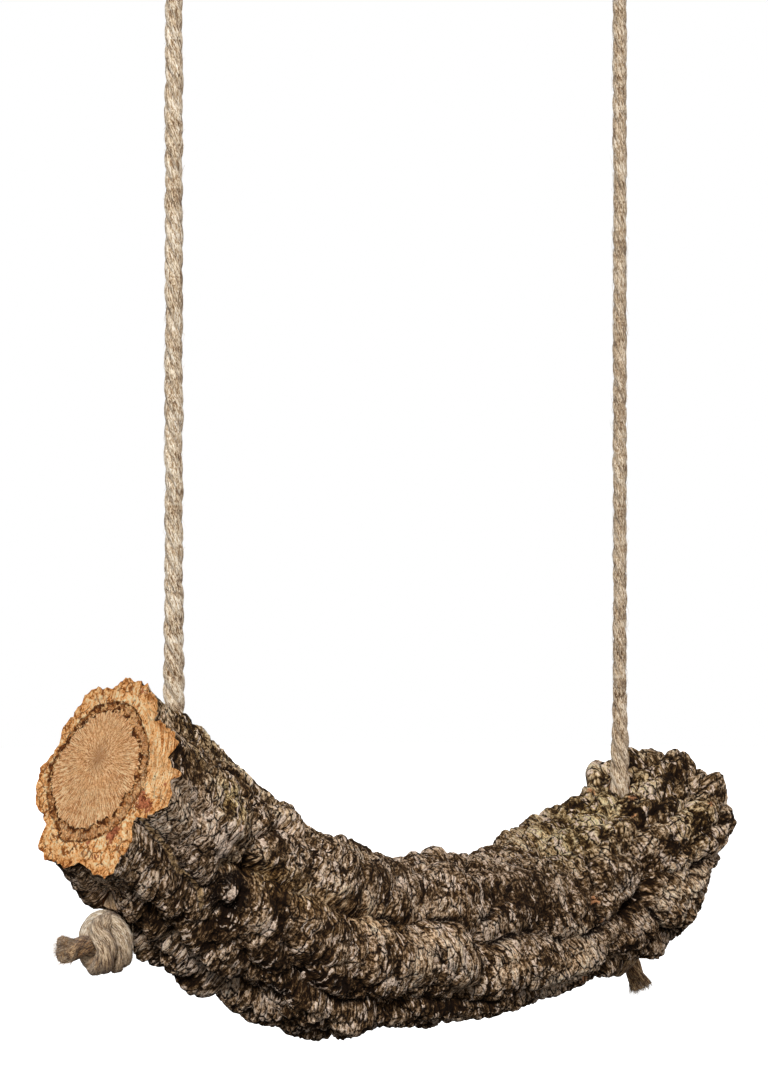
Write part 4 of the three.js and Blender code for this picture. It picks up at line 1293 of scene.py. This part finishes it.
def make_camera():
    data = bpy.data.cameras.new("photo_camera")
    data.sensor_width = SENSOR_WIDTH
    data.lens = FOCAL_PIXELS * SENSOR_WIDTH / PHOTO_LONG_SIDE
    camera = bpy.data.objects.new("photo_camera", data)
    camera.location = [value * MM for value in CAMERA_PLACE]
    camera.rotation_euler = (math.radians(90), 0, math.radians(CAMERA_TURN))
    bpy.context.scene.collection.objects.link(camera)
    bpy.context.scene.camera = camera


# A round lamp that points at the branch.
def make_light(name, place, size, power):
    data = bpy.data.lights.new(name, "AREA")
    data.shape = "DISK"
    data.size = size
    data.energy = power
    light = bpy.data.objects.new(name, data)
    light.location = place
    x, y, z = np.array(LIT_PLACE, float) - place
    light.rotation_euler = (math.atan2(math.hypot(x, y), -z), 0, math.atan2(y, x) - math.pi / 2)
    bpy.context.scene.collection.objects.link(light)


# White all round to the camera, and to the object a sky that is lighter above than below.
def make_sky():
    world = bpy.data.worlds.new("white_studio")
    world.use_nodes = True
    tree = world.node_tree
    direction = tree.nodes.new("ShaderNodeTexCoord")
    height = tree.nodes.new("ShaderNodeSeparateXYZ")
    tree.links.new(direction.outputs["Generated"], height.inputs[0])
    light = tree.nodes.new("ShaderNodeMapRange")
    tree.links.new(height.outputs["Z"], light.inputs["Value"])
    for name, value in SKY_LIGHT.items():
        light.inputs[name].default_value = value
    rays = tree.nodes.new("ShaderNodeLightPath")
    strength = tree.nodes.new("ShaderNodeMix")
    tree.links.new(rays.outputs["Is Camera Ray"], strength.inputs[0])
    tree.links.new(light.outputs["Result"], strength.inputs[2])
    strength.inputs[3].default_value = 1.0
    background = tree.nodes["Background"]
    background.inputs["Color"].default_value = (1, 1, 1, 1)
    tree.links.new(strength.outputs[0], background.inputs["Strength"])
    bpy.context.scene.world = world


def make_floor():
    round_floor = bmesh.new()
    bmesh.ops.create_circle(round_floor, cap_ends=True, segments=96, radius=FLOOR_RADIUS)
    for vertex in round_floor.verts:
        vertex.co.z = FLOOR_HEIGHT
    mesh = bpy.data.meshes.new("studio_floor")
    round_floor.to_mesh(mesh)
    round_floor.free()
    floor = new_piece("studio_floor", mesh, [pale_floor()])
    floor.visible_diffuse = False
    floor.visible_glossy = False


make_camera()
fibre = rope_fibre()
for number, (name, rope) in enumerate(ROPES.items()):
    stopper, _ = make_rope(
        name + "_stopper_knot", stopper_route(rope), KNOT_ROPE, fibre, SEEDS["stopper_knot"] + number,
        LOOSE_FIBRES["stopper_knot"], rope["knot_soil_and_shade"], frayed=KNOT_FRAY, grime_and_shade=KNOT_GRIME_AND_SHADE)
    loop, _ = make_rope(
        name + "_top_loop", loop_route(rope), ROPE_DIAMETER, fibre, SEEDS["top_loop"] + number,
        LOOSE_FIBRES["top_loop"], rope["soil_and_shade"][:2], frayed=LOOP_FRAY)
    hanging, line = make_rope(
        name + "_hanging_rope", straight_route(rope), ROPE_DIAMETER, fibre, SEEDS["hanging_rope"] + number,
        LOOSE_FIBRES["hanging_rope"], rope["soil_and_shade"], girth=(rope["mouth_height"], rope["girth"]))
    for piece, node in ((stopper, "stopper_"), (loop, "loop_"), (hanging, "rope_")):
        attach(piece, "root")
        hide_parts(node + name)
    [value * MM for value in rope["exit"]]

branch = make_branch([cork_bark(), sawn_end(), drilled_wood()])
drill(branch)
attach(branch, "root")
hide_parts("branch")

bpy.context.scene.view_settings.view_transform = "Standard"
make_sky()
for name, (place, size, power) in LIGHTS.items():
    make_light(name, place, size, power)
make_floor()
